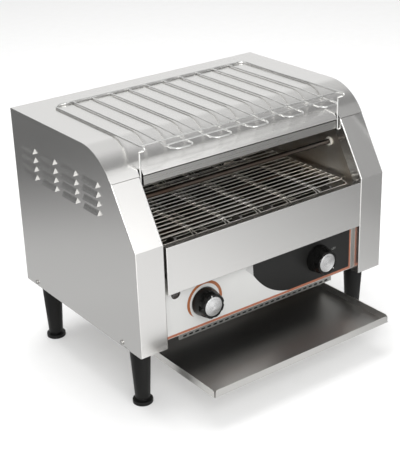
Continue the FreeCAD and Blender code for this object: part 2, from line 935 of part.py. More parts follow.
def facet_windows(body, centre, angle, apothem):
    """The openings of one link where the belt goes round a sprocket."""
    feature = body.newObject("PartDesign::Pocket", "pocket")
    windows = belt_windows(half_wire - pitch / 2, pitch / 2 - half_wire)
    sketch = new_sketch(body, "XY_Plane", ZERO, windows)
    feature.Profile = sketch
    dy, dz = turned(apothem + half_wire + over / 2, angle)
    middle = FreeCAD.Vector(0, (centre + dy).value, (belt_z + dz).value)
    turn = FreeCAD.Rotation(FreeCAD.Vector(1, 0, 0), angle - 90)
    sketch.AttachmentOffset = FreeCAD.Placement(middle, turn)
    bind(sketch, "AttachmentOffset.Base.y", centre + dy)
    bind(sketch, "AttachmentOffset.Base.z", belt_z + dz)
    bind(feature, "Length", half_wire * 2 + over)
    return feature


conveyor_belt()


# Chamber walls: behind the pillar returns, with the holes of the shafts, the heaters and the rack
tube_hole = size("ceramic_radius") + size("running_gap")
upper_tube_z = roof - size("upper_heater_drop")


def heater_stations():
    first = front + size("heater_setback")
    return [first + size("heater_pitch") * number for number in range(count("heaters"))]


def chamber_wall(name, hand):
    body = new_body(name)
    inset = t * 2
    knee_y, knee_z = front_knee(inset)
    high_y = knee_y + (roof - knee_z) * slope_cos / slope_sin
    outline = [
        (front + inset, base + t), (rear - inset, base + t), (rear - inset, roof),
        (high_y, roof), (knee_y, knee_z),
    ]
    holes = [circle(pivot_y, pivot_z, pivot_hole)]
    for station in (idler_y, drive_y):
        holes.append(circle(station, belt_z, size("bush_radius") + size("running_gap")))
    for station in heater_stations():
        holes.append(circle(station, upper_tube_z, tube_hole))
        holes.append(circle(station, belt_z, tube_hole))
    low, width = span(hand, wall_x, wall_x + t)
    pad(body, "YZ_Plane", low, width, outline, *holes)
    return body


chamber_wall("chamber_wall_left", -1)
chamber_wall("chamber_wall_right", 1)


# Reflectors above and below the belt, and the hood lip over the mouth. The upper one is cut away at its
# front corners, where the arms of the rack come down.
hood_y = seam_y + size("hood_inset")


def upper_reflector():
    body = new_body("upper_reflector")
    low_y = hood_y + t
    high_y = rear - t * 2
    inner_x = rack_x - slot_half
    outline = [
        (-wall_x, slot_end), (-inner_x, slot_end), (-inner_x, low_y), (inner_x, low_y), (inner_x, slot_end),
        (wall_x, slot_end), (wall_x, high_y), (-wall_x, high_y),
    ]
    pad(body, "XY_Plane", roof - t, t, outline)
    return body


def lower_reflector():
    body = new_body("lower_reflector")
    low_y = front + size("return_depth")
    high_y = rear - size("lower_reflector_end")
    pad(body, "XY_Plane", reflector_z, t, rectangle(-wall_x, low_y, wall_x, high_y))
    lip = size("rail_leg")
    pad(body, "XY_Plane", reflector_z - lip, lip, rectangle(-wall_x, high_y - t, wall_x, high_y))
    return body


def hood_lip():
    body = new_body("hood_lip")
    half = pillar_x - size("hood_end_gap")
    low = roof + t - size("hood_face")
    pad(body, "XZ_Plane", hood_y, t, rectangle(-half, low, half, roof))
    pad(body, "XY_Plane", roof, t, rectangle(-half, hood_y, half, hood_y + size("hood_flange")))
    pad(body, "XY_Plane", low, t, rectangle(-half, hood_y, half, hood_y + size("hood_hem")))
    return body


upper_reflector()
lower_reflector()
hood_lip()


# Heaters: straight tubes across the chamber, each end in a ceramic ring in the wall
def heaters(name, z):
    body = new_body(name)
    reach = wall_x + t + size("heater_tail")
    outline = circle(front + size("heater_setback"), z, size("heater_radius"))
    tube = pad(body, "YZ_Plane", -reach, reach * 2, outline)
    repeat(body, [tube], "Y_Axis", size("heater_pitch"), count("heaters"))
    return body


def heater_insulators():
    body = new_body("heater_insulators")
    station = front + size("heater_setback")
    collars = []
    start = wall_x - size("ceramic_length") / 2
    for hand in (-1, 1):
        low, width = span(hand, start, start + size("ceramic_length"))
        loops = []
        for z in (belt_z, upper_tube_z):
            loops.append(circle(station, z, size("ceramic_radius")))
            loops.append(circle(station, z, size("heater_radius") + size("running_gap")))
        collars.append(pad(body, "YZ_Plane", low, width, *loops))
    repeat(body, collars, "Y_Axis", size("heater_pitch"), count("heaters"))
    return body


heaters("upper_heaters", upper_tube_z)
heaters("lower_heaters", belt_z)
heater_insulators()


# Belt rails: a stepped strip on each wall that carries and guides the edge of the belt
def belt_rail(name, hand):
    body = new_body(name)
    low_y = idler_y + half_wire * 2
    high_y = drive_y - half_wire * 2
    carry = belt_z + pitch_radius - half_wire - size("rail_gap")
    inner = wall_x - size("rail_width")
    web = belt_width / 2 + t
    cap = belt_top + t
    carrier, carrier_width = span(hand, inner, web + t)
    pad(body, "XY_Plane", carry - t, t, rectangle(carrier, low_y, carrier + carrier_width, high_y))
    fence, fence_width = span(hand, web, web + t)
    pad(body, "XY_Plane", carry, cap - carry, rectangle(fence, low_y, fence + fence_width, high_y))
    ledge, ledge_width = span(hand, web, wall_x)
    pad(body, "XY_Plane", cap - t, t, rectangle(ledge, low_y, ledge + ledge_width, high_y))
    leg, leg_width = span(hand, wall_x - t, wall_x)
    drop = size("rail_leg")
    pad(body, "XY_Plane", cap - t - drop, drop, rectangle(leg, low_y, leg + leg_width, high_y))
    return body


belt_rail("belt_rail_left", -1)
belt_rail("belt_rail_right", 1)

# Shafts, their bushings and the sprockets under the belt. The shares place a tooth's four corners in its
# pitch, and the wheels among the belt's columns.
TOOTH_SHARES = (-0.16, 0.16, 0.34, 0.66)
WHEEL_SHARES = (-2.5, -0.5, 0.5, 2.5)
bush_end = wall_x + t + size("bush_flange")
chain_x = wall_x + t + size("chain_wall_gap")


def shaft(name, y, right_end):
    body = new_body(name)
    left_end = bush_end + size("shaft_end")
    pad(body, "YZ_Plane", -left_end, left_end + right_end, circle(ZERO, ZERO, size("shaft_radius")))
    place(body, ZERO, y, belt_z)
    return body


def shaft_bushings(name, y):
    body = new_body(name)
    bore = circle(ZERO, ZERO, size("shaft_radius") + size("running_gap"))
    for hand in (-1, 1):
        low, width = span(hand, wall_x + t, bush_end)
        pad(body, "YZ_Plane", low, width, circle(ZERO, ZERO, size("bush_flange_radius")), bore)
        low, width = span(hand, wall_x, wall_x + t)
        pad(body, "YZ_Plane", low, width, circle(ZERO, ZERO, size("bush_radius")), bore)
    place(body, ZERO, y, belt_z)
    return body


def toothed(teeth, tip, root, first):
    """The outline of a wheel whose teeth stand at the given angle and every tooth pitch after it."""
    corners = []
    step = 360 / teeth
    for number in range(teeth):
        for share, radius in zip(TOOTH_SHARES, (tip, tip, root, root)):
            corners.append(turned(radius, first + step * (number + share)))
    return corners


def belt_sprockets(name, y):
    body = new_body(name)
    teeth = count("sprocket_teeth")
    tip = pitch_radius - half_wire - size("tooth_gap")
    bore = circle(ZERO, ZERO, size("shaft_radius"))
    column = belt_width / count("belt_columns")
    thick = size("sprocket_thickness")
    for share in WHEEL_SHARES:
        low = column * share - thick / 2
        outline = toothed(teeth, tip, tip - size("tooth_depth"), 180 / teeth)
        pad(body, "YZ_Plane", low, thick, outline, bore)
        boss = circle(ZERO, ZERO, size("sprocket_boss_radius"))
        pad(body, "YZ_Plane", low + thick, size("sprocket_boss"), boss, bore)
    place(body, ZERO, y, belt_z)
    return body


shaft("idler_shaft", idler_y, bush_end + size("shaft_end"))
shaft("drive_shaft", drive_y, chain_x + size("chain_width") / 2 + size("gear_hub"))
shaft_bushings("idler_bushings", idler_y)
shaft_bushings("drive_bushings", drive_y)
belt_sprockets("idler_sprockets", idler_y)
belt_sprockets("drive_sprockets", drive_y)

# Chain drive in the right side space: a gear motor on the wall, two sprockets and the chain
motor_z = base + size("motor_rise")
chain_low = chain_x - size("chain_width") / 2


def chain_sprocket(name, z, has_stub):
    body = new_body(name)
    tip = size("chain_radius") - size("chain_gap")
    bore = [] if has_stub else [circle(ZERO, ZERO, size("shaft_radius"))]
    outline = toothed(count("drive_teeth"), tip, tip - size("gear_tooth"), 0)
    pad(body, "YZ_Plane", chain_low, size("chain_width"), outline, *bore)
    if has_stub:
        stub_start = wall_x + t + size("gearbox_depth") / 2
        pad(body, "YZ_Plane", stub_start, chain_low - stub_start, circle(ZERO, ZERO, size("shaft_radius")))
    else:
        boss = circle(ZERO, ZERO, size("gear_bore_boss"))
        pad(body, "YZ_Plane", chain_low - size("gear_hub"), size("gear_hub"), boss, *bore)
    place(body, ZERO, drive_y, z)
    return body


def drive_chain():
    body = new_body("drive_chain")
    inner = size("chain_radius")
    outer = inner + size("chain_height")
    drop = motor_z - belt_z
    loops = []
    for radius in (outer, inner):
        loops.append([
            (radius, ZERO, radius), (ZERO, radius, radius), (-radius, ZERO),
            (-radius, drop, radius), (ZERO, drop - radius, radius), (radius, drop),
        ])
    pad(body, "YZ_Plane", chain_low, size("chain_width"), *loops)
    place(body, ZERO, drive_y, belt_z)
    return body


def gear_motor():
    body = new_body("gear_motor")
    half_y = size("gearbox_width") / 2
    half_z = size("gearbox_height") / 2
    depth = size("gearbox_depth")
    start = wall_x + t
    pad(body, "YZ_Plane", start, depth, rectangle(-half_y, -half_z, half_y, half_z))
    motor = circle(start + size("motor_radius"), ZERO, size("motor_radius"))
    pad(body, "XZ_Plane", -half_y - size("motor_length"), size("motor_length"), motor)
    output = circle(ZERO, ZERO, size("shaft_radius") + size("running_gap"))
    bottom = start + depth / 2 - size("running_gap")
    pocket(body, "YZ_Plane", bottom, depth / 2 + size("running_gap") + over, output)
    place(body, ZERO, drive_y, motor_z)
    return body


chain_sprocket("driven_sprocket", belt_z, False)
chain_sprocket("motor_sprocket", motor_z, True)
drive_chain()
gear_motor()


# Return chute: from the back of the chamber down and forward through the base to the tray
def return_chute():
    body = new_body("return_chute")
    lean_cos = cosine("chute_angle")
    lean_sin = sine("chute_angle")
    radius = size("chute_radius")
    wall_y = rear - t * 2
    low_y = front + size("chute_setback")
    low_z = base - size("chute_end_drop")
    centre_y = wall_y - radius
    centre_z = low_z + (radius + (centre_y - low_y) * lean_sin) / lean_cos
    high_z = belt_top - size("chute_top_gap")

    def bend(depth):
        inside = radius - depth
        return (centre_y + inside * lean_sin, centre_z - inside * lean_cos), (centre_y + inside, centre_z)

    outer_low, outer_high = bend(ZERO)
    inner_low, inner_high = bend(t)
    inner_radius = radius - t
    half = wall_x - size("chute_side_gap")
    skin = [
        (low_y, low_z),
        (outer_low[0], outer_low[1], radius),
        outer_high,
        (wall_y, high_z),
        (wall_y - t, high_z),
        (inner_high[0], inner_high[1], -inner_radius),
        inner_low,
        (low_y - t * lean_sin, low_z + t * lean_cos),
    ]
    pad(body, "YZ_Plane", -half, half * 2, skin)
    rise = size("chute_cheek")
    start = low_y - t * lean_sin
    cheek = [
        (start, low_z + t * lean_cos),
        inner_low,
        (inner_low[0] - rise * lean_sin, inner_low[1] + rise * lean_cos),
        (start - rise * lean_sin + size("chute_cheek_cut"), low_z + (t + rise) * lean_cos),
    ]
    for hand in (-1, 1):
        low, width = span(hand, half - t, half)
        pad(body, "YZ_Plane", low, width, cheek)
    return body


return_chute()


# Terminal block in the left side space
def terminal_block():
    body = new_body("terminal_block")
    inner = wall_x + t + size("terminal_inset")
    low_y = rear - size("terminal_setback") - size("terminal_length")
    outline = rectangle(-(inner + size("terminal_width")), low_y, -inner, low_y + size("terminal_length"))
    pad(body, "XY_Plane", base + t, size("terminal_height"), outline)
    return body


terminal_block()


# Cable gland: a hollow fitting in the rear panel, a nut on either side of the sheet
def cable_gland():
    body = new_body("cable_gland")
    bore = size("gland_bore")
    nut = size("gland_nut_radius")
    thread = size("gland_radius")
    inside = rear - t * 2
    outside = rear - t
    profile = [
        (inside - size("gland_nut"), bore),
        (inside - size("gland_nut"), nut),
        (inside, nut),
        (inside, thread),
        (outside, thread),
        (outside, nut),
        (outside + size("gland_nut"), nut),
        (rear + size("gland_reach"), thread),
        (rear + size("gland_reach"), bore),
    ]
    revolve(body, "YZ_Plane", "H_Axis", profile)
    place(body, -(side - size("gland_inset")), ZERO, base + size("gland_rise"))
    return body


cable_gland()


# Toast tray: a shallow pan whose walls stop short of the corners, and the runners that carry it
tray_half = wall_x - size("tray_side_gap")
tray_floor = base - size("tray_drop")


def toast_tray():
    body = new_body("toast_tray")
    low_y = front - size("tray_reach")
    high_y = low_y + size("tray_length")
    high = tray_floor + size("tray_wall")
    slit = size("tray_slit")
    corner = size("tray_corner")
    pad(body, "XY_Plane", tray_floor, t, rectangle(-tray_half, low_y, tray_half, high_y))

    def wall(start, end):
        return [
            (start, tray_floor + t), (end, tray_floor + t),
            (end, high - corner, corner), (end - corner, high),
            (start + corner, high, corner), (start, high - corner),
        ]

    for hand in (-1, 1):
        low, width = span(hand, tray_half - t, tray_half)
        pad(body, "YZ_Plane", low, width, wall(low_y + slit, high_y - slit))
    for start in (low_y, high_y - t):
        pad(body, "XZ_Plane", start, t, wall(-(tray_half - t - slit), tray_half - t - slit))
    return body


def tray_runner(name, hand):
    body = new_body(name)
    web = tray_half + size("runner_gap")
    low_y = front + size("runner_setback")
    high_y = rear - size("runner_rear_setback")
    foot_z = tray_floor - t
    web_low, web_width = span(hand, web, web + t)
    pad(body, "XY_Plane", foot_z, base - foot_z, rectangle(web_low, low_y, web_low + web_width, high_y))
    flange, flange_width = span(hand, web + t, web + t + size("runner_flange"))
    pad(body, "XY_Plane", base - t, t, rectangle(flange, low_y, flange + flange_width, high_y))
    foot, foot_width = span(hand, web - size("runner_foot"), web)
    pad(body, "XY_Plane", foot_z, t, rectangle(foot, low_y, foot + foot_width, high_y))
    return body


toast_tray()
tray_runner("tray_runner_left", -1)
tray_runner("tray_runner_right", 1)

# Legs and levelling feet at the four corners
leg_low = size("leg_clearance")


def corners():
    for end, y in (("front", front + size("leg_end_inset")), ("rear", rear - size("leg_end_inset"))):
        for word, hand in (("left", -1), ("right", 1)):
            yield f"{end}_{word}", (side - size("leg_side_inset")) * hand, y


def leg(name, x, y):
    body = new_body(name)
    screw = size("screw_radius") + size("running_gap")
    deep = base - size("leg_screw_depth")
    bore = size("stud_radius") + size("running_gap")
    profile = [
        (bore, leg_low),
        (size("leg_bottom_radius"), leg_low),
        (size("leg_top_radius"), base),
        (screw, base),
        (screw, deep),
        (ZERO, deep),
        (ZERO, leg_low + size("leg_bore_depth")),
        (bore, leg_low + size("leg_bore_depth")),
    ]
    revolve(body, "XZ_Plane", "V_Axis", profile)
    place(body, x, y)
    return body


def foot(name, x, y):
    body = new_body(name)
    plinth = size("foot_height")
    boss = plinth + size("foot_boss")
    stud = boss + size("stud_length")
    profile = [
        (ZERO, ZERO),
        (size("foot_radius"), ZERO),
        (size("foot_radius"), plinth),
        (size("foot_boss_radius"), plinth),
        (size("foot_boss_radius"), boss),
        (size("stud_radius"), boss),
        (size("stud_radius"), stud),
        (ZERO, stud),
    ]
    revolve(body, "XZ_Plane", "V_Axis", profile)
    place(body, x, y)
    return body


for corner_name, corner_x, corner_y in corners():
    leg(f"leg_{corner_name}", corner_x, corner_y)
    foot(f"foot_{corner_name}", corner_x, corner_y)


# Screws: four into the legs from inside the base, four through the sides into the base
def leg_screws():
    body = new_body("leg_screws")
    heads = [circle(x, y, size("screw_head_radius")) for _, x, y in corners()]
    shanks = [circle(x, y, size("screw_radius")) for _, x, y in corners()]
    pad(body, "XY_Plane", base + t, size("screw_head_height"), *heads)
    reach = size("screw_length")
    pad(body, "XY_Plane", base + t - reach, reach, *shanks)
    return body


def side_screws():
    body = new_body("side_screws")
    z = base + size("screw_rise")
    stations = (front + size("front_screw_setback"), rear - size("rear_screw_setback"))
    reach = size("screw_length")
    for hand in (-1, 1):
        low, width = span(hand, side, side + size("screw_head_height"))
        pad(body, "YZ_Plane", low, width, *[circle(y, z, size("screw_head_radius")) for y in stations])
        low, width = span(hand, side - reach, side)
        pad(body, "YZ_Plane", low, width, *[circle(y, z, size("screw_radius")) for y in stations])
    return body


leg_screws()
side_screws()


# Wire rack: one bent frame, a rail along its front, hairpin wires with hooked ends and a low rail
def bent_path(points):
    """The way through the points. An inner point's second item is the radius of its bend."""
    edges = []
    last = points[0][0]
    for (before, *_), (corner_point, radius), (after, *_) in zip(points, points[1:], points[2:]):
        come = (before - corner_point).normalize()
        leave = (after - corner_point).normalize()
        half_angle = come.getAngle(leave) / 2
        setback = radius / math.tan(half_angle)
        start = corner_point + come * setback
        end = corner_point + leave * setback
        inward = (come + leave).normalize()
        middle = corner_point + inward * (radius / math.sin(half_angle) - radius)
        edges.append(Part.LineSegment(last, start).toShape())
        edges.append(Part.Arc(start, middle, end).toShape())
        last = end
    edges.append(Part.LineSegment(last, points[-1][0]).toShape())
    return Part.Wire(edges)


def bent_wire(points, wire_radius):
    heading = (points[1][0] - points[0][0]).normalize()
    outline = Part.makeCircle(wire_radius, points[0][0], heading)
    return bent_path(points).makePipeShell([Part.Wire([outline])], True, False)


def straight_wire(start, end, wire_radius):
    return Part.makeCylinder(wire_radius, (end - start).Length, start, end - start)


def wire_rack():
    vec = FreeCAD.Vector
    thick = size("rack_wire_radius").value
    rail = size("rack_rail_radius").value
    thin = size("rack_thin_radius").value
    weld = size("rack_weld_depth").value
    half = rack_x.value
    bend = size("rack_bend").value
    corner = size("rack_corner").value
    level = (top + size("rack_gap")).value + thick
    dipped = level - rail - thin + weld
    stub_end = (wall_x + size("rack_pivot_end")).value
    hinge_y = pivot_y.value
    hinge_z = pivot_z.value
    rail_y = hinge_y - size("rack_rail_setback").value
    nose_y = rail_y - size("rack_nose_reach").value
    nose_z = level + size("rack_nose_rise").value
    elbow_z = level - size("rack_elbow_drop").value
    rear_y = (rear - size("rack_rear_setback")).value

    def half_frame(hand):
        return [
            (vec(stub_end * hand, hinge_y, hinge_z),),
            (vec(half * hand, hinge_y, hinge_z), size("rack_foot_bend").value),
            (vec(half * hand, hinge_y, elbow_z), bend),
            (vec(half * hand, nose_y, nose_z), size("rack_nose_bend").value),
            (vec(half * hand, rail_y, level), bend),
            (vec(half * hand, rear_y, level), corner),
        ]

    wires = [bent_wire(half_frame(-1) + half_frame(1)[::-1], thick)]
    joint_y = rail_y + thick
    wires.append(straight_wire(vec(-half, joint_y, level), vec(half, joint_y, level), rail))
    spacing = size("rack_wire_pitch").value
    first = spacing * (count("rack_hairpins") * 2 - 1) / 2
    hook_y = rail_y - size("rack_hook_reach").value
    dip_y = (crown_y - size("rack_dip_setback")).value
    hook_bend = size("rack_hook_bend").value
    for number in range(count("rack_hairpins")):
        left = spacing * 2 * number - first
        path = [(left, rear_y), (left, dip_y, corner), (left, joint_y, bend), (left, hook_y, hook_bend)]
        path += [(left + spacing, *rest) for _, *rest in reversed(path)]
        levels = (level, level, dipped, dipped, dipped, dipped, level, level)
        wires.append(bent_wire([(vec(x, y, z), *bends) for (x, y, *bends), z in zip(path, levels)], thin))
    low_y = rail_y - size("rack_low_rail_reach").value
    low_z = dipped + thin * 2 - weld
    reach = first + thin * 2
    wires.append(straight_wire(vec(-reach, low_y, low_z), vec(reach, low_y, low_z), thin))
    rack = doc.addObject("Part::Feature", "wire_rack")
    rack.Label = "wire_rack"
    rack.Shape = wires[0].multiFuse(wires[1:])


wire_rack()

# Export: every piece in its own file
doc.recompute()
os.makedirs("parts", exist_ok=True)
for item in doc.Objects:
    if any(word in ("Invalid", "Error") for word in item.State):
        raise ValueError(f"{item.Label} isn't computed: {item.State}")
pieces = [item for item in doc.Objects if item.TypeId in ("PartDesign::Body", "Part::Feature")]
for piece in pieces:
    if piece.Shape.isNull() or not piece.Shape.isValid():
        raise ValueError(f"{piece.Label} has no valid shape")
    piece.Shape.exportStep(f"parts/{piece.Label}.step")
    print(piece.Label, len(piece.Shape.Solids), round(piece.Shape.Volume))
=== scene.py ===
import math

import bmesh
import bpy
from mathutils import Matrix, Vector


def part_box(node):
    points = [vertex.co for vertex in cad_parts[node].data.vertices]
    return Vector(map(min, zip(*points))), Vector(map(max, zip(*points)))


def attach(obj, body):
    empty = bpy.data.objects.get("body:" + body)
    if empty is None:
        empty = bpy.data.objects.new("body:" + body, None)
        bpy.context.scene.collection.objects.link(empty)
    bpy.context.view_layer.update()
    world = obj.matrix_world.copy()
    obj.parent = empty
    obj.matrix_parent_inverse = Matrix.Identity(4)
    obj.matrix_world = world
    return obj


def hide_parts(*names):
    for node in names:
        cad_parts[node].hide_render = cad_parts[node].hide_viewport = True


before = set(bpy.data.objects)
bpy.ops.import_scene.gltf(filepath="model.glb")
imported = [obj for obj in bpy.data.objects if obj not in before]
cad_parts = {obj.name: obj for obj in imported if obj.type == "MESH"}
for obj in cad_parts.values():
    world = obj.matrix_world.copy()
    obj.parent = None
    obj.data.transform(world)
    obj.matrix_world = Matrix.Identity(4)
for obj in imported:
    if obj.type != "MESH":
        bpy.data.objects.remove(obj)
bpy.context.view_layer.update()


# Camera: in front of the toaster, to its left and above it, where the photograph was taken.
# The three rows are the picture's right, down and away directions in the toaster's own frame.
PICTURE_RIGHT = (0.80109, -0.59784, -0.02903)
PICTURE_DOWN = (-0.26684, -0.31330, -0.91139)
PICTURE_AWAY = (0.53577, 0.73786, -0.41051)
CAMERA_PLACE = (-0.9428, -1.2565, 0.8938)
PICTURE_HEIGHT = 457
FOCAL_PIXELS = 1095.04
SENSOR = 36.0

camera_data = bpy.data.cameras.new("photo_camera")
camera_data.sensor_width = SENSOR
camera_data.lens = FOCAL_PIXELS * SENSOR / PICTURE_HEIGHT
camera = bpy.data.objects.new("photo_camera", camera_data)
bpy.context.scene.collection.objects.link(camera)
axes = Matrix((PICTURE_RIGHT, [-v for v in PICTURE_DOWN], [-v for v in PICTURE_AWAY])).transposed()
camera.matrix_world = Matrix.Translation(CAMERA_PLACE) @ axes.to_4x4()
bpy.context.scene.camera = camera
bpy.context.scene.view_settings.view_transform = "Standard"


# Room: a white sweep under soft lamps. The world shows white to the camera and in reflections, the
# floor keeps the shadow under the toaster, and grey cards round it give the steel its soft shading.
# The cards' levels were worked back from tones read off the photograph, then adjusted by trial.
def linear(code):
    """The linear colour of an sRGB hex value."""
    parts = [int(code[i:i + 2], 16) / 255 for i in (1, 3, 5)]
    return (*[p / 12.92 if p <= 0.04045 else ((p + 0.055) / 1.055) ** 2.4 for p in parts], 1)


def add(tree, kind, inputs=None, **settings):
    """A node with its settings, its inputs linked to sockets or set to values."""
    node = tree.nodes.new("ShaderNode" + kind)
    for name, value in settings.items():
        setattr(node, name, value)
    for name, value in (inputs or {}).items():
        if isinstance(value, bpy.types.NodeSocket):
            tree.links.new(value, node.inputs[name])
        else:
            node.inputs[name].default_value = value
    return node


def new_material(name):
    """An empty node material, its tree and its output node."""
    material = bpy.data.materials.new(name)
    material.use_nodes = True
    tree = material.node_tree
    tree.nodes.clear()
    return material, tree, add(tree, "OutputMaterial")


world = bpy.data.worlds.new("white_sweep")
world.use_nodes = True
sky = world.node_tree
sky.nodes.clear()
rays = add(sky, "LightPath").outputs
direct = add(sky, "Math", {0: rays["Is Camera Ray"], 1: rays["Is Glossy Ray"]}, operation="ADD")
shown = add(sky, "Math", {0: direct.outputs[0], 1: rays["Is Transmission Ray"]},
            operation="ADD", use_clamp=True)
ambient = add(sky, "Background", {"Color": (1, 1, 1, 1), "Strength": 0.7})
backdrop = add(sky, "Background", {"Color": (1, 1, 1, 1), "Strength": 1.0})
sky_mix = add(sky, "MixShader", {0: shown.outputs[0], 1: ambient.outputs[0], 2: backdrop.outputs[0]})
add(sky, "OutputWorld", {"Surface": sky_mix.outputs[0]})
bpy.context.scene.world = world


def stage_sheet(name, corners, material):
    """A flat four-cornered sheet of the room."""
    bm = bmesh.new()
    bm.faces.new([bm.verts.new(corner) for corner in corners])
    mesh = bpy.data.meshes.new(name)
    bm.to_mesh(mesh)
    bm.free()
    mesh.materials.append(material)
    sheet = bpy.data.objects.new(name, mesh)
    bpy.context.scene.collection.objects.link(sheet)
    return sheet


# Pale floor paint: matt and faintly mottled, lifted a little towards white where no shadow falls.
floor_paint, tree, out = new_material("pale_floor")
mottle = add(tree, "TexNoise", {"Vector": add(tree, "TexCoord").outputs["Object"], "Scale": 30.0})
tone = add(tree, "MixRGB", {0: mottle.outputs[0], 1: linear("#F6F6F5"), 2: linear("#FBFBFB")})
matt = add(tree, "BsdfDiffuse", {"Color": tone.outputs[0]})
glow = add(tree, "Emission", {"Color": (1, 1, 1, 1), "Strength": 1.0})
lifted = add(tree, "MixShader", {0: 0.24, 1: matt.outputs[0], 2: glow.outputs[0]})
tree.links.new(lifted.outputs[0], out.inputs["Surface"])
stage_sheet("floor", [(-6, -6, 0), (6, -6, 0), (6, 6, 0), (-6, 6, 0)], floor_paint)


def reflected_card(name, corners, way, stops):
    """A card that only reflections see. Its tone runs between stops along one way."""
    paint, tree, out = new_material(name + "_paint")
    place = add(tree, "TexCoord").outputs["Object"]
    along = add(tree, "VectorMath", {0: place, 1: way}, operation="DOT_PRODUCT")
    first, last = stops[0][0], stops[-1][0]
    share = add(tree, "MapRange", {"Value": along.outputs["Value"], "From Min": first, "From Max": last})
    tone = add(tree, "ValToRGB", {"Fac": share.outputs[0]})
    marks = tone.color_ramp.elements
    for number, (at, level) in enumerate(stops):
        mark = marks[number] if number < 2 else marks.new(1.0)
        mark.position = (at - first) / (last - first)
        mark.color = (level, level, level, 1)
    tree.links.new(add(tree, "Emission", {"Color": tone.outputs[0]}).outputs[0], out.inputs["Surface"])
    card = stage_sheet(name, corners, paint)
    card.visible_camera = False
    card.visible_diffuse = False
    card.visible_shadow = False
    card.visible_transmission = False


def floor_corners(west, south, east, north):
    """The corners of a card that lies just over the floor."""
    return [(west, south, 0.001), (east, south, 0.001), (east, north, 0.001), (west, north, 0.001)]


X_WAY, Y_WAY = (1, 0, 0), (0, 1, 0)

# Behind and above: the flat top and the crown show the rear wall and then the darkening ceiling.
reflected_card("rear_wall_card", [(-1.0, 2.5, 0.5), (4.0, 2.5, 0.5), (4.0, 2.5, 2.43), (-1.0, 2.5, 2.43)],
               X_WAY, [(-1.0, 0.8), (1.4, 0.84), (4.0, 0.87)])
reflected_card("rear_left_card", [(-3.4, 2.4, 0.0), (-1.0, 2.4, 0.0), (-1.0, 2.4, 2.3), (-3.4, 2.4, 2.3)],
               X_WAY, [(-3.4, 0.18), (-1.0, 0.2)])
reflected_card("ceiling_card",
               [(-1.0, -0.66, 1.467), (3.4, -0.66, 1.467), (3.4, 2.5, 2.43), (-1.0, 2.5, 2.43)],
               Y_WAY, [(-0.66, 0.22), (-0.46, 0.24), (-0.29, 0.29), (-0.12, 0.36), (0.07, 0.46),
                       (0.28, 0.57), (0.52, 0.61), (2.5, 0.62)])

# In front: the slanted faces of the two pillars and the end of the crown show these.
reflected_card("front_right_card",
               [(0.92, -1.394, 0.3), (1.7, -0.7, 0.3), (1.7, -0.7, 2.5), (0.92, -1.394, 0.92)],
               X_WAY, [(0.92, 0.25), (1.1, 0.25), (1.2, 0.42), (1.35, 0.38), (1.7, 0.34)])
reflected_card("front_bright_card",
               [(0.3, -1.5, 0.98), (0.86, -1.5, 0.98), (0.86, -1.5, 1.26), (0.3, -1.5, 1.26)],
               X_WAY, [(0.3, 1.0), (0.6, 1.45), (0.86, 1.5)])

# On the floor round the toaster: the upright faces show these, so each fades from dark to light.
reflected_card("side_floor_card", floor_corners(-2.4, -0.4, -0.26, 2.4),
               (0.5, -0.87, 0), [(-1.08, 0.16), (-1.0, 0.21), (-0.89, 0.29), (-0.745, 0.42), (-0.69, 0.49),
                                 (-0.6, 0.54), (-0.4, 0.565), (-0.32, 0.54)])
reflected_card("front_floor_card", floor_corners(-0.15, -1.6, 2.0, -0.22),
               X_WAY, [(-0.15, 0.86), (0.0, 0.9), (0.13, 0.86), (0.2, 0.74), (0.34, 0.6), (0.41, 0.52),
                       (0.484, 0.49), (0.52, 0.43), (0.56, 0.36), (1.2, 0.3)])
reflected_card("rear_floor_card", floor_corners(-0.26, 0.23, 2.4, 3.2),
               Y_WAY, [(0.23, 0.34), (0.6, 0.5), (1.2, 0.64), (3.2, 0.74)])
reflected_card("right_floor_card", floor_corners(0.27, -0.2, 3.2, 0.22),
               X_WAY, [(0.27, 0.34), (0.6, 0.5), (1.2, 0.64), (3.2, 0.74)])


def soft_lamp(name, place, target, size, power):
    """A square soft box that looks at a point."""
    lamp_data = bpy.data.lights.new(name, "AREA")
    lamp_data.size = size
    lamp_data.energy = power
    lamp = bpy.data.objects.new(name, lamp_data)
    bpy.context.scene.collection.objects.link(lamp)
    heading = Vector(target) - Vector(place)
    lamp.matrix_world = Matrix.Translation(place) @ heading.to_track_quat("-Z", "Y").to_matrix().to_4x4()


soft_lamp("key_lamp", (-1.0, -1.7, 1.7), (0, 0, 0.2), 1.0, 18)
soft_lamp("front_lamp", (0.1, -2.2, 0.9), (0, 0, 0.25), 1.2, 8)
soft_lamp("top_lamp", (0.1, 0.6, 2.4), (0, 0, 0.3), 1.6, 36)


# Base plate: a shallow pan of mill-finish stainless sheet that the legs and the side panels are
# screwed to. It is pressed from one sheet, and its cut edges are eased by tumbling.
SHORTEST_BEND = 0.04
SMALLEST_BROAD_FACE = 0.0006


def seated(bm, name, material, body, *nodes):
    """The piece's object, smooth between its sharp edges, on its body and in place of its nodes."""
    mesh = bpy.data.meshes.new(name)
    bm.to_mesh(mesh)
    bm.free()
    for face in mesh.polygons:
        face.use_smooth = True
    mesh.set_sharp_from_angle(angle=math.radians(50))
    mesh.materials.append(material)
    piece = bpy.data.objects.new(name, mesh)
    bpy.context.scene.collection.objects.link(piece)
    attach(piece, body)
    if nodes:
        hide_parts(*nodes)
    return piece


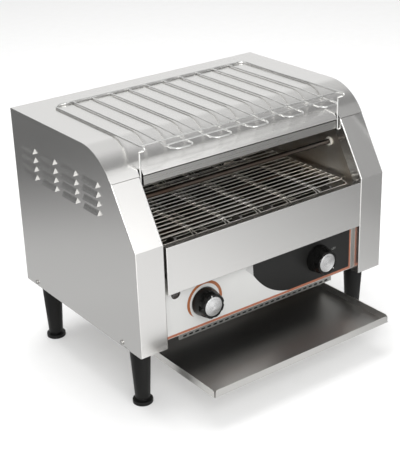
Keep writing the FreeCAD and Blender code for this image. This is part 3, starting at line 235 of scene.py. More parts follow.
def eased(node, material, width=0.0004, body="housing", bluntest=28, steps=2, fold=0.0):
    """The node's shape with its edges eased by a width, in the node's place. Where a fold's radius is
    given, the long square bends between broad faces of the sheet are rounded by it first."""
    bm = bmesh.new()
    bm.from_mesh(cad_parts[node].data)
    bmesh.ops.remove_doubles(bm, verts=bm.verts, dist=1e-6)
    bmesh.ops.dissolve_limit(bm, angle_limit=math.radians(0.5), verts=bm.verts, edges=bm.edges)
    if fold:
        bends = [e for e in bm.edges if len(e.link_faces) == 2 and e.calc_length() > SHORTEST_BEND
                 and e.calc_face_angle_signed(0) > math.radians(60)
                 and min(face.calc_area() for face in e.link_faces) > SMALLEST_BROAD_FACE]
        bmesh.ops.bevel(bm, geom=bends, offset=fold, offset_type="OFFSET", affect="EDGES", segments=4,
                        profile=0.5, material=-1, clamp_overlap=False)
    sharp = [e for e in bm.edges if len(e.link_faces) == 2 and e.calc_face_angle(0) > math.radians(bluntest)]
    if width:
        bmesh.ops.bevel(bm, geom=sharp, offset=width, offset_type="OFFSET", affect="EDGES", segments=steps,
                        profile=0.5, material=-1, clamp_overlap=True)
    piece = seated(bm, node + "_piece", material, body, node)
    piece.modifiers.new("even_shading", "WEIGHTED_NORMAL").keep_sharp = True
    return piece


def brushed_steel(name, colour, grain, roughness, streak_mm=3.0, depth=0.08, darkest=0.94, spread=0.05):
    """Stainless steel brushed along one axis: long fine lines of uneven gloss and height. The real lines
    are 0.1 mm wide. They are drawn in all widths from that up to a few millimetres, so that some show."""
    material, tree, out = new_material(name)
    coords = add(tree, "TexCoord").outputs["Object"]
    across = 1000 / streak_mm
    scale = [across / 80 if axis == grain else across for axis in "xyz"]
    lines = add(tree, "Mapping", {"Vector": coords, "Scale": scale})
    streaks = add(tree, "TexNoise", {"Vector": lines.outputs[0], "Scale": 1.0, "Detail": 5.0,
                                     "Roughness": 0.75})
    cloud = add(tree, "TexNoise", {"Vector": coords, "Scale": 7.0, "Detail": 2.0})
    low = tuple(c * darkest for c in colour[:3]) + (1,)
    base = add(tree, "MixRGB", {0: streaks.outputs[0], 1: low, 2: colour})
    narrow = add(tree, "MapRange", {"Value": streaks.outputs[0], "To Min": roughness - spread,
                                    "To Max": roughness + spread})
    wide = add(tree, "MapRange", {"Value": cloud.outputs[0], "To Min": -0.03, "To Max": 0.03})
    gloss = add(tree, "Math", {0: narrow.outputs[0], 1: wide.outputs[0]}, operation="ADD")
    bump = add(tree, "Bump", {"Height": streaks.outputs[0], "Strength": depth, "Distance": 0.0003})
    steel = add(tree, "BsdfPrincipled", {"Base Color": base.outputs[0], "Metallic": 1.0,
                                         "Roughness": gloss.outputs[0], "Normal": bump.outputs[0]})
    tree.links.new(steel.outputs[0], out.inputs["Surface"])
    return material


# The shell's steel: bright, with soft mirror tones drawn out across the brushed lines.
shell_steel = brushed_steel("stainless_brushed_across", linear("#ECEBE9"), "x", 0.24, spread=0.03)
# Mill-finish steel: greyer and duller, and darker still as painted shade, so the low parts fall back behind
# the bright shell.
mill_and_shade_steel = brushed_steel("stainless_mill_finish_and_shade", linear("#A6A6A3"), "x", 0.36)
eased("base_plate", mill_and_shade_steel)


# Legs and levelling feet: four tapered legs moulded in black nylon, each screwed up into the base,
# with a threaded foot that turns out of its lower end.
def moulded_plastic(name, colour, roughness, grain_mm, depth=0.15, sheen=0.5):
    """Moulded plastic: an even colour with a fine eroded grain that breaks up its sheen."""
    material, tree, out = new_material(name)
    coords = add(tree, "TexCoord").outputs["Object"]
    grain = add(tree, "TexNoise", {"Vector": coords, "Scale": 1000 / grain_mm, "Detail": 3.0})
    cloud = add(tree, "TexNoise", {"Vector": coords, "Scale": 25.0, "Detail": 2.0})
    lighter = tuple(c * 1.25 + 0.002 for c in colour[:3]) + (1,)
    base = add(tree, "MixRGB", {0: cloud.outputs[0], 1: colour, 2: lighter})
    gloss = add(tree, "MapRange", {"Value": cloud.outputs[0], "To Min": roughness - 0.06,
                                   "To Max": roughness + 0.06})
    bump = add(tree, "Bump", {"Height": grain.outputs[0], "Strength": depth, "Distance": 0.0002})
    plastic = add(tree, "BsdfPrincipled", {"Base Color": base.outputs[0], "Roughness": gloss.outputs[0],
                                           "Specular IOR Level": sheen, "Normal": bump.outputs[0]})
    tree.links.new(plastic.outputs[0], out.inputs["Surface"])
    return material


# Nylon and rubber: near black, with a weak broad sheen along the legs' round sides.
leg_nylon = moulded_plastic("black_nylon_legs", linear("#0F0F0E"), 0.45, 0.8, sheen=0.22)
foot_rubber = moulded_plastic("black_rubber_feet", linear("#0C0C0B"), 0.5, 1.2, 0.2, sheen=0.22)
for corner in ("front_left", "front_right", "rear_left", "rear_right"):
    eased("leg_" + corner, leg_nylon, 0.0008, bluntest=20, steps=3)
    eased("foot_" + corner, foot_rubber, 0.0008, corner + "_foot", bluntest=20, steps=3)


# Chamber: two inner walls and the reflectors of thinner stainless sheet. The heat has tinted them
# straw and grey, so they shine less than the shell.
def tinted_steel(name, cold, hot, grain, roughness):
    """Stainless steel with the straw tint that heat leaves, in soft clouds over fine brushed lines."""
    material, tree, out = new_material(name)
    coords = add(tree, "TexCoord").outputs["Object"]
    scale = [4.0 if axis == grain else 330.0 for axis in "xyz"]
    lines = add(tree, "Mapping", {"Vector": coords, "Scale": scale})
    streaks = add(tree, "TexNoise", {"Vector": lines.outputs[0], "Scale": 1.0, "Detail": 5.0,
                                     "Roughness": 0.75})
    cloud = add(tree, "TexNoise", {"Vector": coords, "Scale": 11.0, "Detail": 4.0})
    tint = add(tree, "ValToRGB", {"Fac": cloud.outputs[0]})
    tint.color_ramp.elements[0].position = 0.35
    tint.color_ramp.elements[0].color = cold
    tint.color_ramp.elements[1].position = 0.7
    tint.color_ramp.elements[1].color = hot
    gloss = add(tree, "MapRange", {"Value": streaks.outputs[0], "To Min": roughness - 0.06,
                                   "To Max": roughness + 0.06})
    bump = add(tree, "Bump", {"Height": streaks.outputs[0], "Strength": 0.08, "Distance": 0.0003})
    steel = add(tree, "BsdfPrincipled", {"Base Color": tint.outputs[0], "Metallic": 1.0,
                                         "Roughness": gloss.outputs[0], "Normal": bump.outputs[0]})
    tree.links.new(steel.outputs[0], out.inputs["Surface"])
    return material


# Chamber steel: warm grey clouds that tell of heat. The sheets over and under the belt are darker: partly
# scorched by the heat, partly painted shade for the dark inside of the chamber. The hood lip is paler and
# soft, so it stands out as a light band over the mouth.
chamber_steel = tinted_steel("stainless_chamber", linear("#D6D3CE"), linear("#B7A998"), "y", 0.36)
scorched_and_shaded_steel = tinted_steel("stainless_scorched_and_painted_shade", linear("#77746F"), linear("#5B5650"), "x", 0.42)
for node in ("chamber_wall_left", "chamber_wall_right"):
    eased(node, chamber_steel, 0.0003)
for node in ("upper_reflector", "lower_reflector", "partition", "return_chute"):
    eased(node, scorched_and_shaded_steel, 0.0003)
lip_steel = brushed_steel("stainless_hood_lip", linear("#B9B8B5"), "x", 0.28)
eased("hood_lip", lip_steel, 0.0011, steps=3)


# Heaters: three straight sheathed tubes over the belt and three inside its loop. Heat has turned
# their steel sheaths grey brown, and each end sits in a ring of unglazed white ceramic.
# Sheath steel reads as dull brown rods, and the ceramic as chalky white rings at their ends.
sheath_steel = tinted_steel("heater_sheath", linear("#5F5A55"), linear("#4A3C33"), "x", 0.42)
ceramic = moulded_plastic("unglazed_ceramic", linear("#D9D5CB"), 0.75, 0.6, 0.3)
eased("upper_heaters", sheath_steel, 0.0005)
eased("lower_heaters", sheath_steel, 0.0005)
eased("heater_insulators", ceramic, 0.0004)


# Shafts, sprockets and bushings: turned steel shafts run in sintered bronze bushings and carry
# the stamped wheels that drive the belt.
# Turned steel is bright with fine lines, stamped steel is grey, and bronze is a dull warm yellow.
turned_steel = brushed_steel("turned_steel", linear("#B4B2AF"), "x", 0.3)
stamped_steel = brushed_steel("stamped_steel", linear("#8E8C89"), "y", 0.4)
bronze = brushed_steel("sintered_bronze", linear("#A9814A"), "x", 0.45)
for node, body in (("idler_shaft", "idler_line"), ("drive_shaft", "drive_line")):
    eased(node, turned_steel, 0.0004, body)
for node, body in (("idler_sprockets", "idler_line"), ("drive_sprockets", "drive_line"),
                   ("driven_sprocket", "drive_line"), ("motor_sprocket", "motor_wheel")):
    eased(node, stamped_steel, 0.0003, body)
for node in ("idler_bushings", "drive_bushings"):
    eased(node, bronze, 0.0003)


# Belt rails: strips of stainless sheet bent to a step and spot welded to the walls, which carry and
# guide the belt's edges.
for hand in ("left", "right"):
    eased(f"belt_rail_{hand}", chamber_steel, 0.0003)


# Wire belt: 46 strands of 2 mm stainless wire, one every 12 mm along the loop. Each is bent into narrow
# loops that hook over the strand before it, so the joints stand in columns along the belt.
BELT_WIRE = 0.001
BELT_PITCH = 0.012
BELT_COLUMNS = 6
RUN_LINKS = 19
WRAP_LINKS = 4
LOOP_ROOT = 0.0016
LOOP_TIP = 0.0035
LOOP_PAST = 0.0016
LOOP_LIFT = 0.0017

belt_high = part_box("conveyor_belt")[1]
idler_low, idler_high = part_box("idler_shaft")
drive_low, drive_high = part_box("drive_shaft")
belt_axis_z = (idler_low.z + idler_high.z) / 2
idler_y = (idler_low.y + idler_high.y) / 2
drive_y = (drive_low.y + drive_high.y) / 2
loop_radius = belt_high.z - BELT_WIRE - belt_axis_z
belt_edge = belt_high.x - BELT_WIRE


def belt_station(link):
    """Where a strand lies on the belt's loop, and the way outward there."""
    link %= 2 * (RUN_LINKS + WRAP_LINKS)
    over, centre, sign = link, idler_y, 1
    if link >= RUN_LINKS + WRAP_LINKS:
        over, centre, sign = link - RUN_LINKS - WRAP_LINKS, drive_y, -1
    if over <= RUN_LINKS:
        height = belt_axis_z + sign * loop_radius
        return Vector((0, centre + sign * BELT_PITCH * over, height)), Vector((0, 0, sign))
    turn = math.radians(90 * sign - 180 / WRAP_LINKS * (over - RUN_LINKS))
    outward = Vector((0, math.cos(turn), math.sin(turn)))
    return Vector((0, drive_y if sign > 0 else idler_y, belt_axis_z)) + outward * loop_radius, outward


def rounded_path(corners, radius, steps=3):
    """The points of a bent wire: straight runs between corners that are rounded by a radius."""
    path = [corners[0]]
    for before, corner, after in zip(corners, corners[1:], corners[2:]):
        come = before - corner
        leave = after - corner
        reach = min(radius, come.length * 0.45, leave.length * 0.45)
        start = corner + come.normalized() * reach
        end = corner + leave.normalized() * reach
        for step in range(steps + 1):
            share = step / steps
            path.append(start.lerp(corner, share).lerp(corner.lerp(end, share), share))
    path.append(corners[-1])
    return path


def strand_corners(link):
    """The corners of one strand from the left edge to the right one."""
    here, outward = belt_station(link)
    last, last_outward = belt_station(link - 1)
    back = (last - here).normalized()
    tip = last + back * LOOP_PAST + last_outward * LOOP_LIFT
    rise = here.lerp(last, 0.75) + last_outward * LOOP_LIFT * 0.9
    column = 2 * belt_edge / BELT_COLUMNS
    corners = []
    for number in range(BELT_COLUMNS + 1):
        x = -belt_edge + column * number
        root_left, root_right = x - LOOP_ROOT, x + LOOP_ROOT
        tip_left, tip_right = x - LOOP_TIP, x + LOOP_TIP
        if number == 0:
            root_right = tip_right = x
            tip_left = x + LOOP_TIP
        if number == BELT_COLUMNS:
            root_left = tip_left = x
            tip_right = x - LOOP_TIP
        left_side = [(root_left, here), ((root_left + tip_left * 2) / 3, rise), (tip_left, tip)]
        right_side = [(tip_right, tip), ((root_right + tip_right * 2) / 3, rise), (root_right, here)]
        if number == 0:
            left_side = [(tip_left, tip)]
        if number == BELT_COLUMNS:
            right_side = [(tip_right, tip)]
        corners += [Vector((x_place, place.y, place.z)) for x_place, place in left_side + right_side]
    return corners


def bent_wires(name, paths, thickness, material, body, *nodes):
    """Round wires along the paths, as one mesh."""
    curve = bpy.data.curves.new(name, "CURVE")
    curve.dimensions = "3D"
    curve.bevel_depth = thickness
    curve.bevel_resolution = 2
    curve.use_fill_caps = True
    for path in paths:
        spline = curve.splines.new("POLY")
        spline.points.add(len(path) - 1)
        for point, place in zip(spline.points, path):
            point.co = (*place, 1)
    holder = bpy.data.objects.new(name, curve)
    bpy.context.scene.collection.objects.link(holder)
    bpy.context.view_layer.update()
    bm = bmesh.new()
    bm.from_mesh(bpy.data.meshes.new_from_object(holder))
    bpy.data.objects.remove(holder)
    return seated(bm, name, material, body, *nodes)


# Belt wire: pale steel with a straw tint, whose round tops catch the light over the dark chamber.
belt_wire = tinted_steel("belt_wire", linear("#F0EEEA"), linear("#D8D2C6"), "x", 0.36)
strands = [rounded_path(strand_corners(link), 0.0012) for link in range(2 * (RUN_LINKS + WRAP_LINKS))]
bent_wires("belt_strands", strands, BELT_WIRE, belt_wire, "housing", "conveyor_belt")


# Drive: a gear motor painted dark grey on the right wall, with a chain up to the belt's shaft, and
# the terminal block and the cable gland in the left side space.
# The motor's enamel is glossy dark grey, and the plastics are matt, pale for the block only.
motor_paint = moulded_plastic("motor_enamel", linear("#2E2F31"), 0.35, 2.0)
block_plastic = moulded_plastic("terminal_block_plastic", linear("#C9C7BF"), 0.5, 1.0)
unit_plastic = moulded_plastic("dial_unit_plastic", linear("#222222"), 0.45, 1.0)
gland_nylon = moulded_plastic("gland_nylon", linear("#161616"), 0.45, 1.0)
eased("gear_motor", motor_paint, 0.0008)
eased("drive_chain", stamped_steel, 0.0004)
eased("terminal_block", block_plastic, 0.0008)
eased("cable_gland", gland_nylon, 0.0005, bluntest=20)


# Side panels: each is one sheet of stainless folded round the front into a pillar with a return, with
# four columns of louvres pressed out of it. The brushed lines run from front to back.
# The sides' steel: as bright as the shell's, with its tones drawn out the other way.
side_steel = brushed_steel("stainless_brushed_along", linear("#ECEBE9"), "y", 0.22, spread=0.03)
for hand in ("left", "right"):
    eased(f"side_panel_{hand}", side_steel, fold=0.0018)


# Rear panel and top cover: flat sheets brushed along the width. The cover is rolled over the crown
# to the seam above the mouth, where two slots let the arms of the rack through.
eased("rear_panel", shell_steel)
eased("top_cover", shell_steel, fold=0.0012)


# Front panel: a pan of brushed sheet that stands proud of the controls, its upper edge folded in.
# The vent rail below is an angle with a row of punched slots, with a black sheet behind them: painted shade
# that keeps the slots dark.
eased("front_panel", shell_steel, 0.0004, fold=0.0012)
eased("vent_rail", mill_and_shade_steel, 0.0002)

# Painted shade: a black sheet with fine checks and no shine stands in for the shade behind the slots, so
# they look dark from every side.
shade_sheet_paint, tree, out = new_material("black_painted_shade_sheet")
coords = add(tree, "TexCoord").outputs["Object"]
shade_checks = add(tree, "TexChecker", {"Vector": coords, "Scale": 1600.0, "Color1": linear("#0B0B0B"),
                                 "Color2": linear("#1C1C1B")})
gloss = add(tree, "MapRange", {"Value": shade_checks.outputs["Fac"], "To Min": 0.5, "To Max": 0.7})
shade_sheet_shader = add(tree, "BsdfPrincipled", {"Base Color": shade_checks.outputs["Color"], "Roughness": gloss.outputs[0]})
tree.links.new(shade_sheet_shader.outputs[0], out.inputs["Surface"])
rail_low, rail_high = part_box("vent_rail")
SHADE_SHEET_MARGIN = 0.003
SHADE_SHEET_THICKNESS = 0.0004
SHADE_SHEET_HEIGHT = 0.0085
SHADE_SHEET_DEPTH = 0.0015
SHADE_SHEET_DROP = 0.0004
# The black sheet of painted shade sits just behind the rail's slots.
bm = bmesh.new()
shade_sheet_size = Matrix.Diagonal(((rail_high.x - SHADE_SHEET_MARGIN) * 2, SHADE_SHEET_THICKNESS, SHADE_SHEET_HEIGHT, 1))
shade_sheet_middle = (rail_low.z + rail_high.z) / 2 - SHADE_SHEET_DROP
shade_sheet_place = Matrix.Translation((0, rail_low.y + SHADE_SHEET_DEPTH, shade_sheet_middle))
bmesh.ops.create_cube(bm, size=1.0, matrix=shade_sheet_place @ shade_sheet_size)
seated(bm, "vent_shade_sheet", shade_sheet_paint, "housing")


# Control panel: a plate of mill-finish steel behind a printed film that is glued to it. The film is
# satin silver with a black field on the right, and salmon lines along its lower and right edges.
eased("control_panel", mill_and_shade_steel)
SILVER_EDGE = 0.0006
ORANGE_HEIGHT = 0.0040
ORANGE_WIDTH = 0.0032
RIGHT_MARGIN = 0.0008
PRINT_THICKNESS = 0.00006


def printed_film(name, colour, roughness, sheen=0.5):
    """Screen print on polycarbonate film: a flat tone with a very fine satin grain."""
    material, tree, out = new_material(name)
    coords = add(tree, "TexCoord").outputs["Object"]
    grain = add(tree, "TexNoise", {"Vector": coords, "Scale": 1500.0, "Detail": 2.0})
    cloud = add(tree, "TexNoise", {"Vector": coords, "Scale": 14.0, "Detail": 2.0})
    darker = tuple(c * 0.94 for c in colour[:3]) + (1,)
    base = add(tree, "MixRGB", {0: cloud.outputs[0], 1: darker, 2: colour})
    gloss = add(tree, "MapRange", {"Value": grain.outputs[0], "To Min": roughness - 0.05,
                                   "To Max": roughness + 0.05})
    bump = add(tree, "Bump", {"Height": grain.outputs[0], "Strength": 0.06, "Distance": 0.0001})
    film = add(tree, "BsdfPrincipled", {"Base Color": base.outputs[0], "Specular IOR Level": sheen,
                                        "Roughness": gloss.outputs[0], "Normal": bump.outputs[0]})
    tree.links.new(film.outputs[0], out.inputs["Surface"])
    return material


# Prints: satin silver, a soft black, a burnt orange ring, paler salmon lines and grey marks. None
# shines much, so they keep their tone from every side.
silver_film = printed_film("film_silver", linear("#D2D2D0"), 0.4)
black_print = printed_film("film_black", linear("#1A1A19"), 0.42, 0.35)
grey_print = printed_film("film_light_grey", linear("#B9B9B8"), 0.4)
orange_print = printed_film("film_orange", linear("#9C5E38"), 0.42, 0.35)
salmon_print = printed_film("film_salmon", linear("#A86B53"), 0.42, 0.35)
mark_print = printed_film("film_marks_grey", linear("#8A8A88"), 0.42)
eased("control_overlay", silver_film, 0.0002)
film_low, film_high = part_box("control_overlay")
dial_low, dial_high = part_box("speed_knob_disc")
dial_z = (dial_low.z + dial_high.z) / 2
dial_x = (dial_low.x + dial_high.x) / 2
NUT_RADIUS = 0.0075


def round_hole(x, z, radius, steps=32):
    """The outline of a hole in a print."""
    return [(x + radius * math.cos(2 * math.pi * n / steps), z + radius * math.sin(2 * math.pi * n / steps))
            for n in range(steps)]


def flat_print(name, outlines, material, layer=1):
    """A print on the front of the film, in the shape of the outlines, given in X and Z."""
    curve = bpy.data.curves.new(name, "CURVE")
    curve.dimensions = "2D"
    curve.fill_mode = "BOTH"
    curve.extrude = PRINT_THICKNESS / 2
    for outline in outlines:
        spline = curve.splines.new("POLY")
        spline.use_cyclic_u = True
        spline.points.add(len(outline) - 1)
        for point, (x, z) in zip(spline.points, outline):
            point.co = (x, z, 0, 1)
    holder = bpy.data.objects.new(name, curve)
    bpy.context.scene.collection.objects.link(holder)
    bpy.context.view_layer.update()
    bm = bmesh.new()
    bm.from_mesh(bpy.data.meshes.new_from_object(holder))
    bpy.data.objects.remove(holder)
    bmesh.ops.remove_doubles(bm, verts=bm.verts, dist=1e-7)
    upright = Matrix.Rotation(math.radians(90), 4, "X")
    lift = Matrix.Translation((0, film_low.y - PRINT_THICKNESS * (layer - 0.5), 0))
    bmesh.ops.transform(bm, matrix=lift @ upright, verts=bm.verts)
    bmesh.ops.recalc_face_normals(bm, faces=bm.faces)
    return seated(bm, name, material, "housing")


def swept(start, middle, end, steps=16):
    """Points along a smooth curve that leaves and arrives along the lines to its middle point."""
    points = []
    for step in range(steps + 1):
        share = step / steps
        points.append(tuple(Vector(start).lerp(Vector(middle), share).lerp(
            Vector(middle).lerp(Vector(end), share), share)))
    return points


field_right = film_high.x - RIGHT_MARGIN - ORANGE_WIDTH
line_top = film_low.z + SILVER_EDGE + ORANGE_HEIGHT
field_edge = [(-0.0197, film_high.z)] + swept((-0.0180, 0.1530), (0.010, 0.1120), (0.0520, line_top))
flat_print("black_field", [field_edge + [(field_right, line_top), (field_right, film_high.z)],
                           round_hole(-dial_x, dial_z, NUT_RADIUS)], black_print)
corner_outline = [(-0.0335, 0.1675), (-0.0197, film_high.z), (-0.0197, 0.1700), (-0.0180, 0.1530)]
flat_print("turned_corner", [corner_outline], grey_print)
flat_print("orange_lines", [[
    (film_low.x, film_low.z + SILVER_EDGE), (field_right + ORANGE_WIDTH, film_low.z + SILVER_EDGE),
    (field_right + ORANGE_WIDTH, film_high.z), (field_right, film_high.z), (field_right, line_top),
    (film_low.x, line_top),
]], salmon_print)


# Speed ring: an orange band printed round the left dial that tapers to a point at its lower left,
# with the numbers 1 to 8 on its inner part. The right dial has one word for its off place.
RING_START = 223
RING_TAPER = 45
RING_END = -5
RING_OUTER = 0.0318
RING_INNER = 0.0270
RING_STEPS = 76
RING_SHIFT = 0.0012


def ring_edge(full, pointed):
    """One edge of the ring: it starts at the point and opens to its full radius over the taper."""
    points = []
    for step in range(RING_STEPS + 1):
        turn = RING_START + (RING_END - RING_START) * step / RING_STEPS
        opened = min(1.0, (RING_START - turn) / RING_TAPER)
        radius = pointed + (full - pointed) * math.sin(opened * math.pi / 2)
        angle = math.radians(turn)
        points.append((dial_x + RING_SHIFT + radius * math.cos(angle), dial_z + radius * math.sin(angle)))
    return points


ring_point = (RING_OUTER * 2 + RING_INNER) / 3 - 0.0012
outer_edge = ring_edge(RING_OUTER, ring_point)
inner_edge = ring_edge(RING_INNER, ring_point - 0.0002)
flat_print("speed_ring", [outer_edge + inner_edge[::-1]], orange_print)


def printed_words(name, words, x, z, height, material):
    """A word or number in plain letters, centred on a place of the film."""
    text = bpy.data.curves.new(name, "FONT")
    text.body = words
    text.size = height
    text.align_x = "CENTER"
    text.align_y = "CENTER"
    text.extrude = PRINT_THICKNESS / 2
    holder = bpy.data.objects.new(name, text)
    bpy.context.scene.collection.objects.link(holder)
    bpy.context.view_layer.update()
    bm = bmesh.new()
    bm.from_mesh(bpy.data.meshes.new_from_object(holder))
    bpy.data.objects.remove(holder)
    upright = Matrix.Rotation(math.radians(90), 4, "X")
    lift = Matrix.Translation((x, film_low.y - PRINT_THICKNESS * 1.5, z))
    bmesh.ops.transform(bm, matrix=lift @ upright, verts=bm.verts)
    return seated(bm, name, material, "housing")


for number in range(1, 9):
    angle = math.radians(215 - 24 * number)
    reach = 0.0255 + 0.0004 * number
    printed_words(f"speed_number_{number}", str(number), dial_x + reach * math.cos(angle),
                  dial_z + reach * math.sin(angle), 0.0032, mark_print)
printed_words("off_mark", "OFF", -dial_x + 0.034, dial_z + 0.006, 0.0050, mark_print)


# Dial units and lamp: the speed regulator and the heat selector hang behind the plate on threaded
# bushes, and a domed smoked lens sits high at the left, half behind the front panel's lower edge.
eased("speed_regulator", unit_plastic, 0.0006)
eased("heat_selector", unit_plastic, 0.0006)

# Smoked lens: brown black with a clear coat, so it shows one sharp highlight.
lens, tree, out = new_material("smoked_lens")
coords = add(tree, "TexCoord").outputs["Object"]
haze = add(tree, "TexNoise", {"Vector": coords, "Scale": 180.0, "Detail": 2.0})
shade = add(tree, "MixRGB", {0: haze.outputs[0], 1: linear("#171512"), 2: linear("#2B2019")})
gloss = add(tree, "MapRange", {"Value": haze.outputs[0], "To Min": 0.08, "To Max": 0.16})
glass = add(tree, "BsdfPrincipled", {"Base Color": shade.outputs[0], "Roughness": gloss.outputs[0],
                                     "Coat Weight": 0.6})
tree.links.new(glass.outputs[0], out.inputs["Surface"])
eased("indicator_lamp", lens, 0.0)


# Knobs: tapered caps moulded in black phenolic with a scalloped rim, each on a steel spindle. A spun
# aluminium disc is pressed into the nose, and a white line on the rim shows the setting.
# Phenolic: deep black with a polished skin, so its scallops catch thin lights.
knob_plastic = moulded_plastic("black_phenolic_knobs", linear("#0D0D0C"), 0.26, 0.7, 0.05, sheen=0.25)
for dial in ("speed", "heat"):
    eased(f"{dial}_knob", knob_plastic, 0.0006, f"{dial}_dial", bluntest=18, steps=3)
    eased(f"{dial}_spindle", turned_steel, 0.0003, f"{dial}_dial")

# Spun aluminium: bright turned rings whose gloss runs round the disc. Its base tone is also darkened and
# lightened in waves round the disc, a painted reflection of wedges of light.
PAINTED_WEDGE_WAVES = 4 * math.pi
PAINTED_WEDGE_TURN = -4.2
spun_aluminium, tree, out = new_material("spun_aluminium")
uv = add(tree, "UVMap", uv_map="spun")
rings = add(tree, "Mapping", {"Vector": uv.outputs[0], "Scale": (1.5, 42.0, 1.0)})
grooves = add(tree, "TexNoise", {"Vector": rings.outputs[0], "Scale": 1.0, "Detail": 3.0})
tone = add(tree, "MixRGB", {0: grooves.outputs[0], 1: linear("#EAEAEA"), 2: linear("#FDFDFD")})
# Painted reflection: the tone is darkened and lightened in waves by the angle round the disc.
turned = add(tree, "SeparateXYZ", {0: uv.outputs[0]}).outputs["X"]
twice = add(tree, "Math", {0: turned, 1: PAINTED_WEDGE_WAVES, 2: PAINTED_WEDGE_TURN}, operation="MULTIPLY_ADD")
wave = add(tree, "Math", {0: twice.outputs[0]}, operation="COSINE")
painted_wedges = add(tree, "MapRange", {"Value": wave.outputs[0], "From Min": -1.0, "From Max": 1.0,
                                "To Min": 0.72, "To Max": 1.0})
tone = add(tree, "MixRGB", {0: 1.0, 1: tone.outputs[0], 2: painted_wedges.outputs[0]}, blend_type="MULTIPLY")
gloss = add(tree, "MapRange", {"Value": grooves.outputs[0], "To Min": 0.22, "To Max": 0.34})
way = add(tree, "Tangent", direction_type="UV_MAP", uv_map="spun")
bump = add(tree, "Bump", {"Height": grooves.outputs[0], "Strength": 0.05, "Distance": 0.0002})
metal = add(tree, "BsdfPrincipled", {"Base Color": tone.outputs[0], "Metallic": 1.0,
                                     "Roughness": gloss.outputs[0], "Anisotropic": 0.85,
                                     "Tangent": way.outputs[0], "Normal": bump.outputs[0]})
tree.links.new(metal.outputs[0], out.inputs["Surface"])


def spun_disc(dial):
    """A disc with a fine rounded edge, turned about its axis, which runs along Y."""
    low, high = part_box(f"{dial}_knob_disc")
    centre = (low + high) / 2
    radius = (high.x - low.x) / 2
    face_y = (low.y - high.y) / 2
    edge = 0.0004
    hub = 0.0002
    profile = [(hub, face_y), (radius - edge, face_y), (radius - edge * 0.3, face_y + edge * 0.3),
               (radius, face_y + edge), (radius, -face_y), (hub, -face_y)]
    bm = bmesh.new()
    verts = [bm.verts.new((r, y, 0)) for r, y in profile]
    edges = [bm.edges.new(pair) for pair in zip(verts, verts[1:])]
    bmesh.ops.spin(bm, geom=verts + edges, cent=(0, 0, 0), axis=(0, 1, 0), angle=2 * math.pi,
                   steps=64, use_merge=True)
    layer = bm.loops.layers.uv.new("spun")
    bmesh.ops.holes_fill(bm, edges=bm.edges, sides=64)
    bmesh.ops.recalc_face_normals(bm, faces=bm.faces)
    for face in bm.faces:
        around = math.atan2(face.calc_center_median().z, face.calc_center_median().x)
        for loop in face.loops:
            place = loop.vert.co
            turn = math.atan2(place.z, place.x)
            while turn - around > math.pi:
                turn -= 2 * math.pi
            while around - turn > math.pi:
                turn += 2 * math.pi
            loop[layer].uv = (turn / (2 * math.pi), math.hypot(place.x, place.z) / radius)
    bmesh.ops.translate(bm, vec=centre, verts=bm.verts)
    return seated(bm, f"{dial}_spun_disc", spun_aluminium, f"{dial}_dial", f"{dial}_knob_disc")


INDEX_LENGTH = 0.0030
INDEX_WIDTH = 0.0013
INDEX_THICKNESS = 0.0001
INDEX_REACH = 0.0171


def index_line(dial, turn):
    """A short white line on the knob's nose, outside the disc, at an angle from the right."""
    low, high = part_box(f"{dial}_knob_disc")
    bm = bmesh.new()
    size = Matrix.Diagonal((INDEX_LENGTH, INDEX_THICKNESS, INDEX_WIDTH, 1))
    bmesh.ops.create_cube(bm, size=1.0, matrix=size)
    bmesh.ops.translate(bm, vec=(INDEX_REACH, 0, 0), verts=bm.verts)
    swing = Matrix.Rotation(math.radians(-turn), 3, "Y")
    bmesh.ops.rotate(bm, cent=(0, 0, 0), matrix=swing, verts=bm.verts)
    bmesh.ops.translate(bm, vec=((low.x + high.x) / 2, low.y, dial_z), verts=bm.verts)
    return seated(bm, f"{dial}_index_line", white_print, f"{dial}_dial")


# Index white: a plain matt white that marks the setting against the black.
white_print = printed_film("index_white", linear("#E8E8E6"), 0.4)
for dial, turn in (("speed", 100), ("heat", -45)):
    spun_disc(dial)
    index_line(dial, turn)


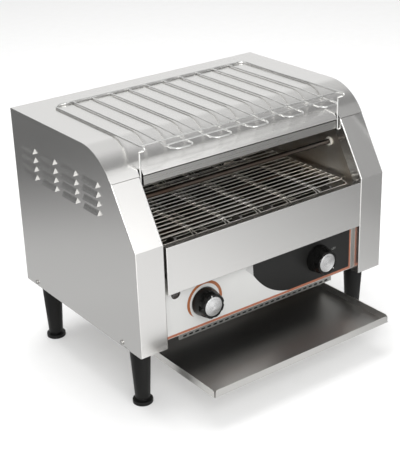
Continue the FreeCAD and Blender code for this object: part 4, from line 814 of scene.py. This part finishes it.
# Toast tray and runners: a shallow pan of brushed sheet, its four walls folded up and cut short of
# the corners. It slides on two angle runners under the base.
# Tray steel: clean and pale on the walls. The floor gets a darker, slightly rougher copy of it: painted
# shade for the shadow under the toaster's body.
tray_steel = brushed_steel("stainless_tray", linear("#D2D1CE"), "x", 0.3, spread=0.04)
painted_shade_floor_steel = brushed_steel("stainless_tray_floor_painted_shade", linear("#B9B8B6"), "x", 0.32, spread=0.04)
tray = eased("toast_tray", tray_steel, 0.0004, "tray", fold=0.0008)
tray.data.materials.append(painted_shade_floor_steel)
# The upward floor faces take the darker steel of painted shade.
floor_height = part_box("toast_tray")[0].z + 0.003
for face in tray.data.polygons:
    if face.normal.z > 0.9 and face.center.z < floor_height:
        face.material_index = 1
for hand in ("left", "right"):
    eased(f"tray_runner_{hand}", chamber_steel, 0.0003)


# Wire rack: a bent frame of 3 mm wire with a cross rail, hairpin wires and a low rail, welded where
# they cross and bright plated. Its arms turn in the side pillars.
# Bright plating: nearly a mirror, so each wire shows as a dark line with a white edge.
plated_wire, tree, out = new_material("bright_plated_wire")
coords = add(tree, "TexCoord").outputs["Object"]
ripple = add(tree, "TexNoise", {"Vector": coords, "Scale": 70.0, "Detail": 2.0})
tone = add(tree, "MixRGB", {0: ripple.outputs[0], 1: linear("#E0E0DE"), 2: linear("#EEEEEC")})
gloss = add(tree, "MapRange", {"Value": ripple.outputs[0], "To Min": 0.16, "To Max": 0.22})
metal = add(tree, "BsdfPrincipled", {"Base Color": tone.outputs[0], "Metallic": 1.0,
                                     "Roughness": gloss.outputs[0]})
tree.links.new(metal.outputs[0], out.inputs["Surface"])
eased("wire_rack", plated_wire, 0.0, "rack")


# Screws: zinc-plated steel pan heads, pressed cold. Four go through the sides into the base and
# four up into the legs.
# Zinc plating: soft and grey, a little darker than the panels round it.
plated_steel = brushed_steel("plated_screw_steel", linear("#C4C3C0"), "x", 0.28)
eased("side_screws", plated_steel, 0.0006, bluntest=20, steps=3)
eased("leg_screws", plated_steel, 0.0006, bluntest=20, steps=3)
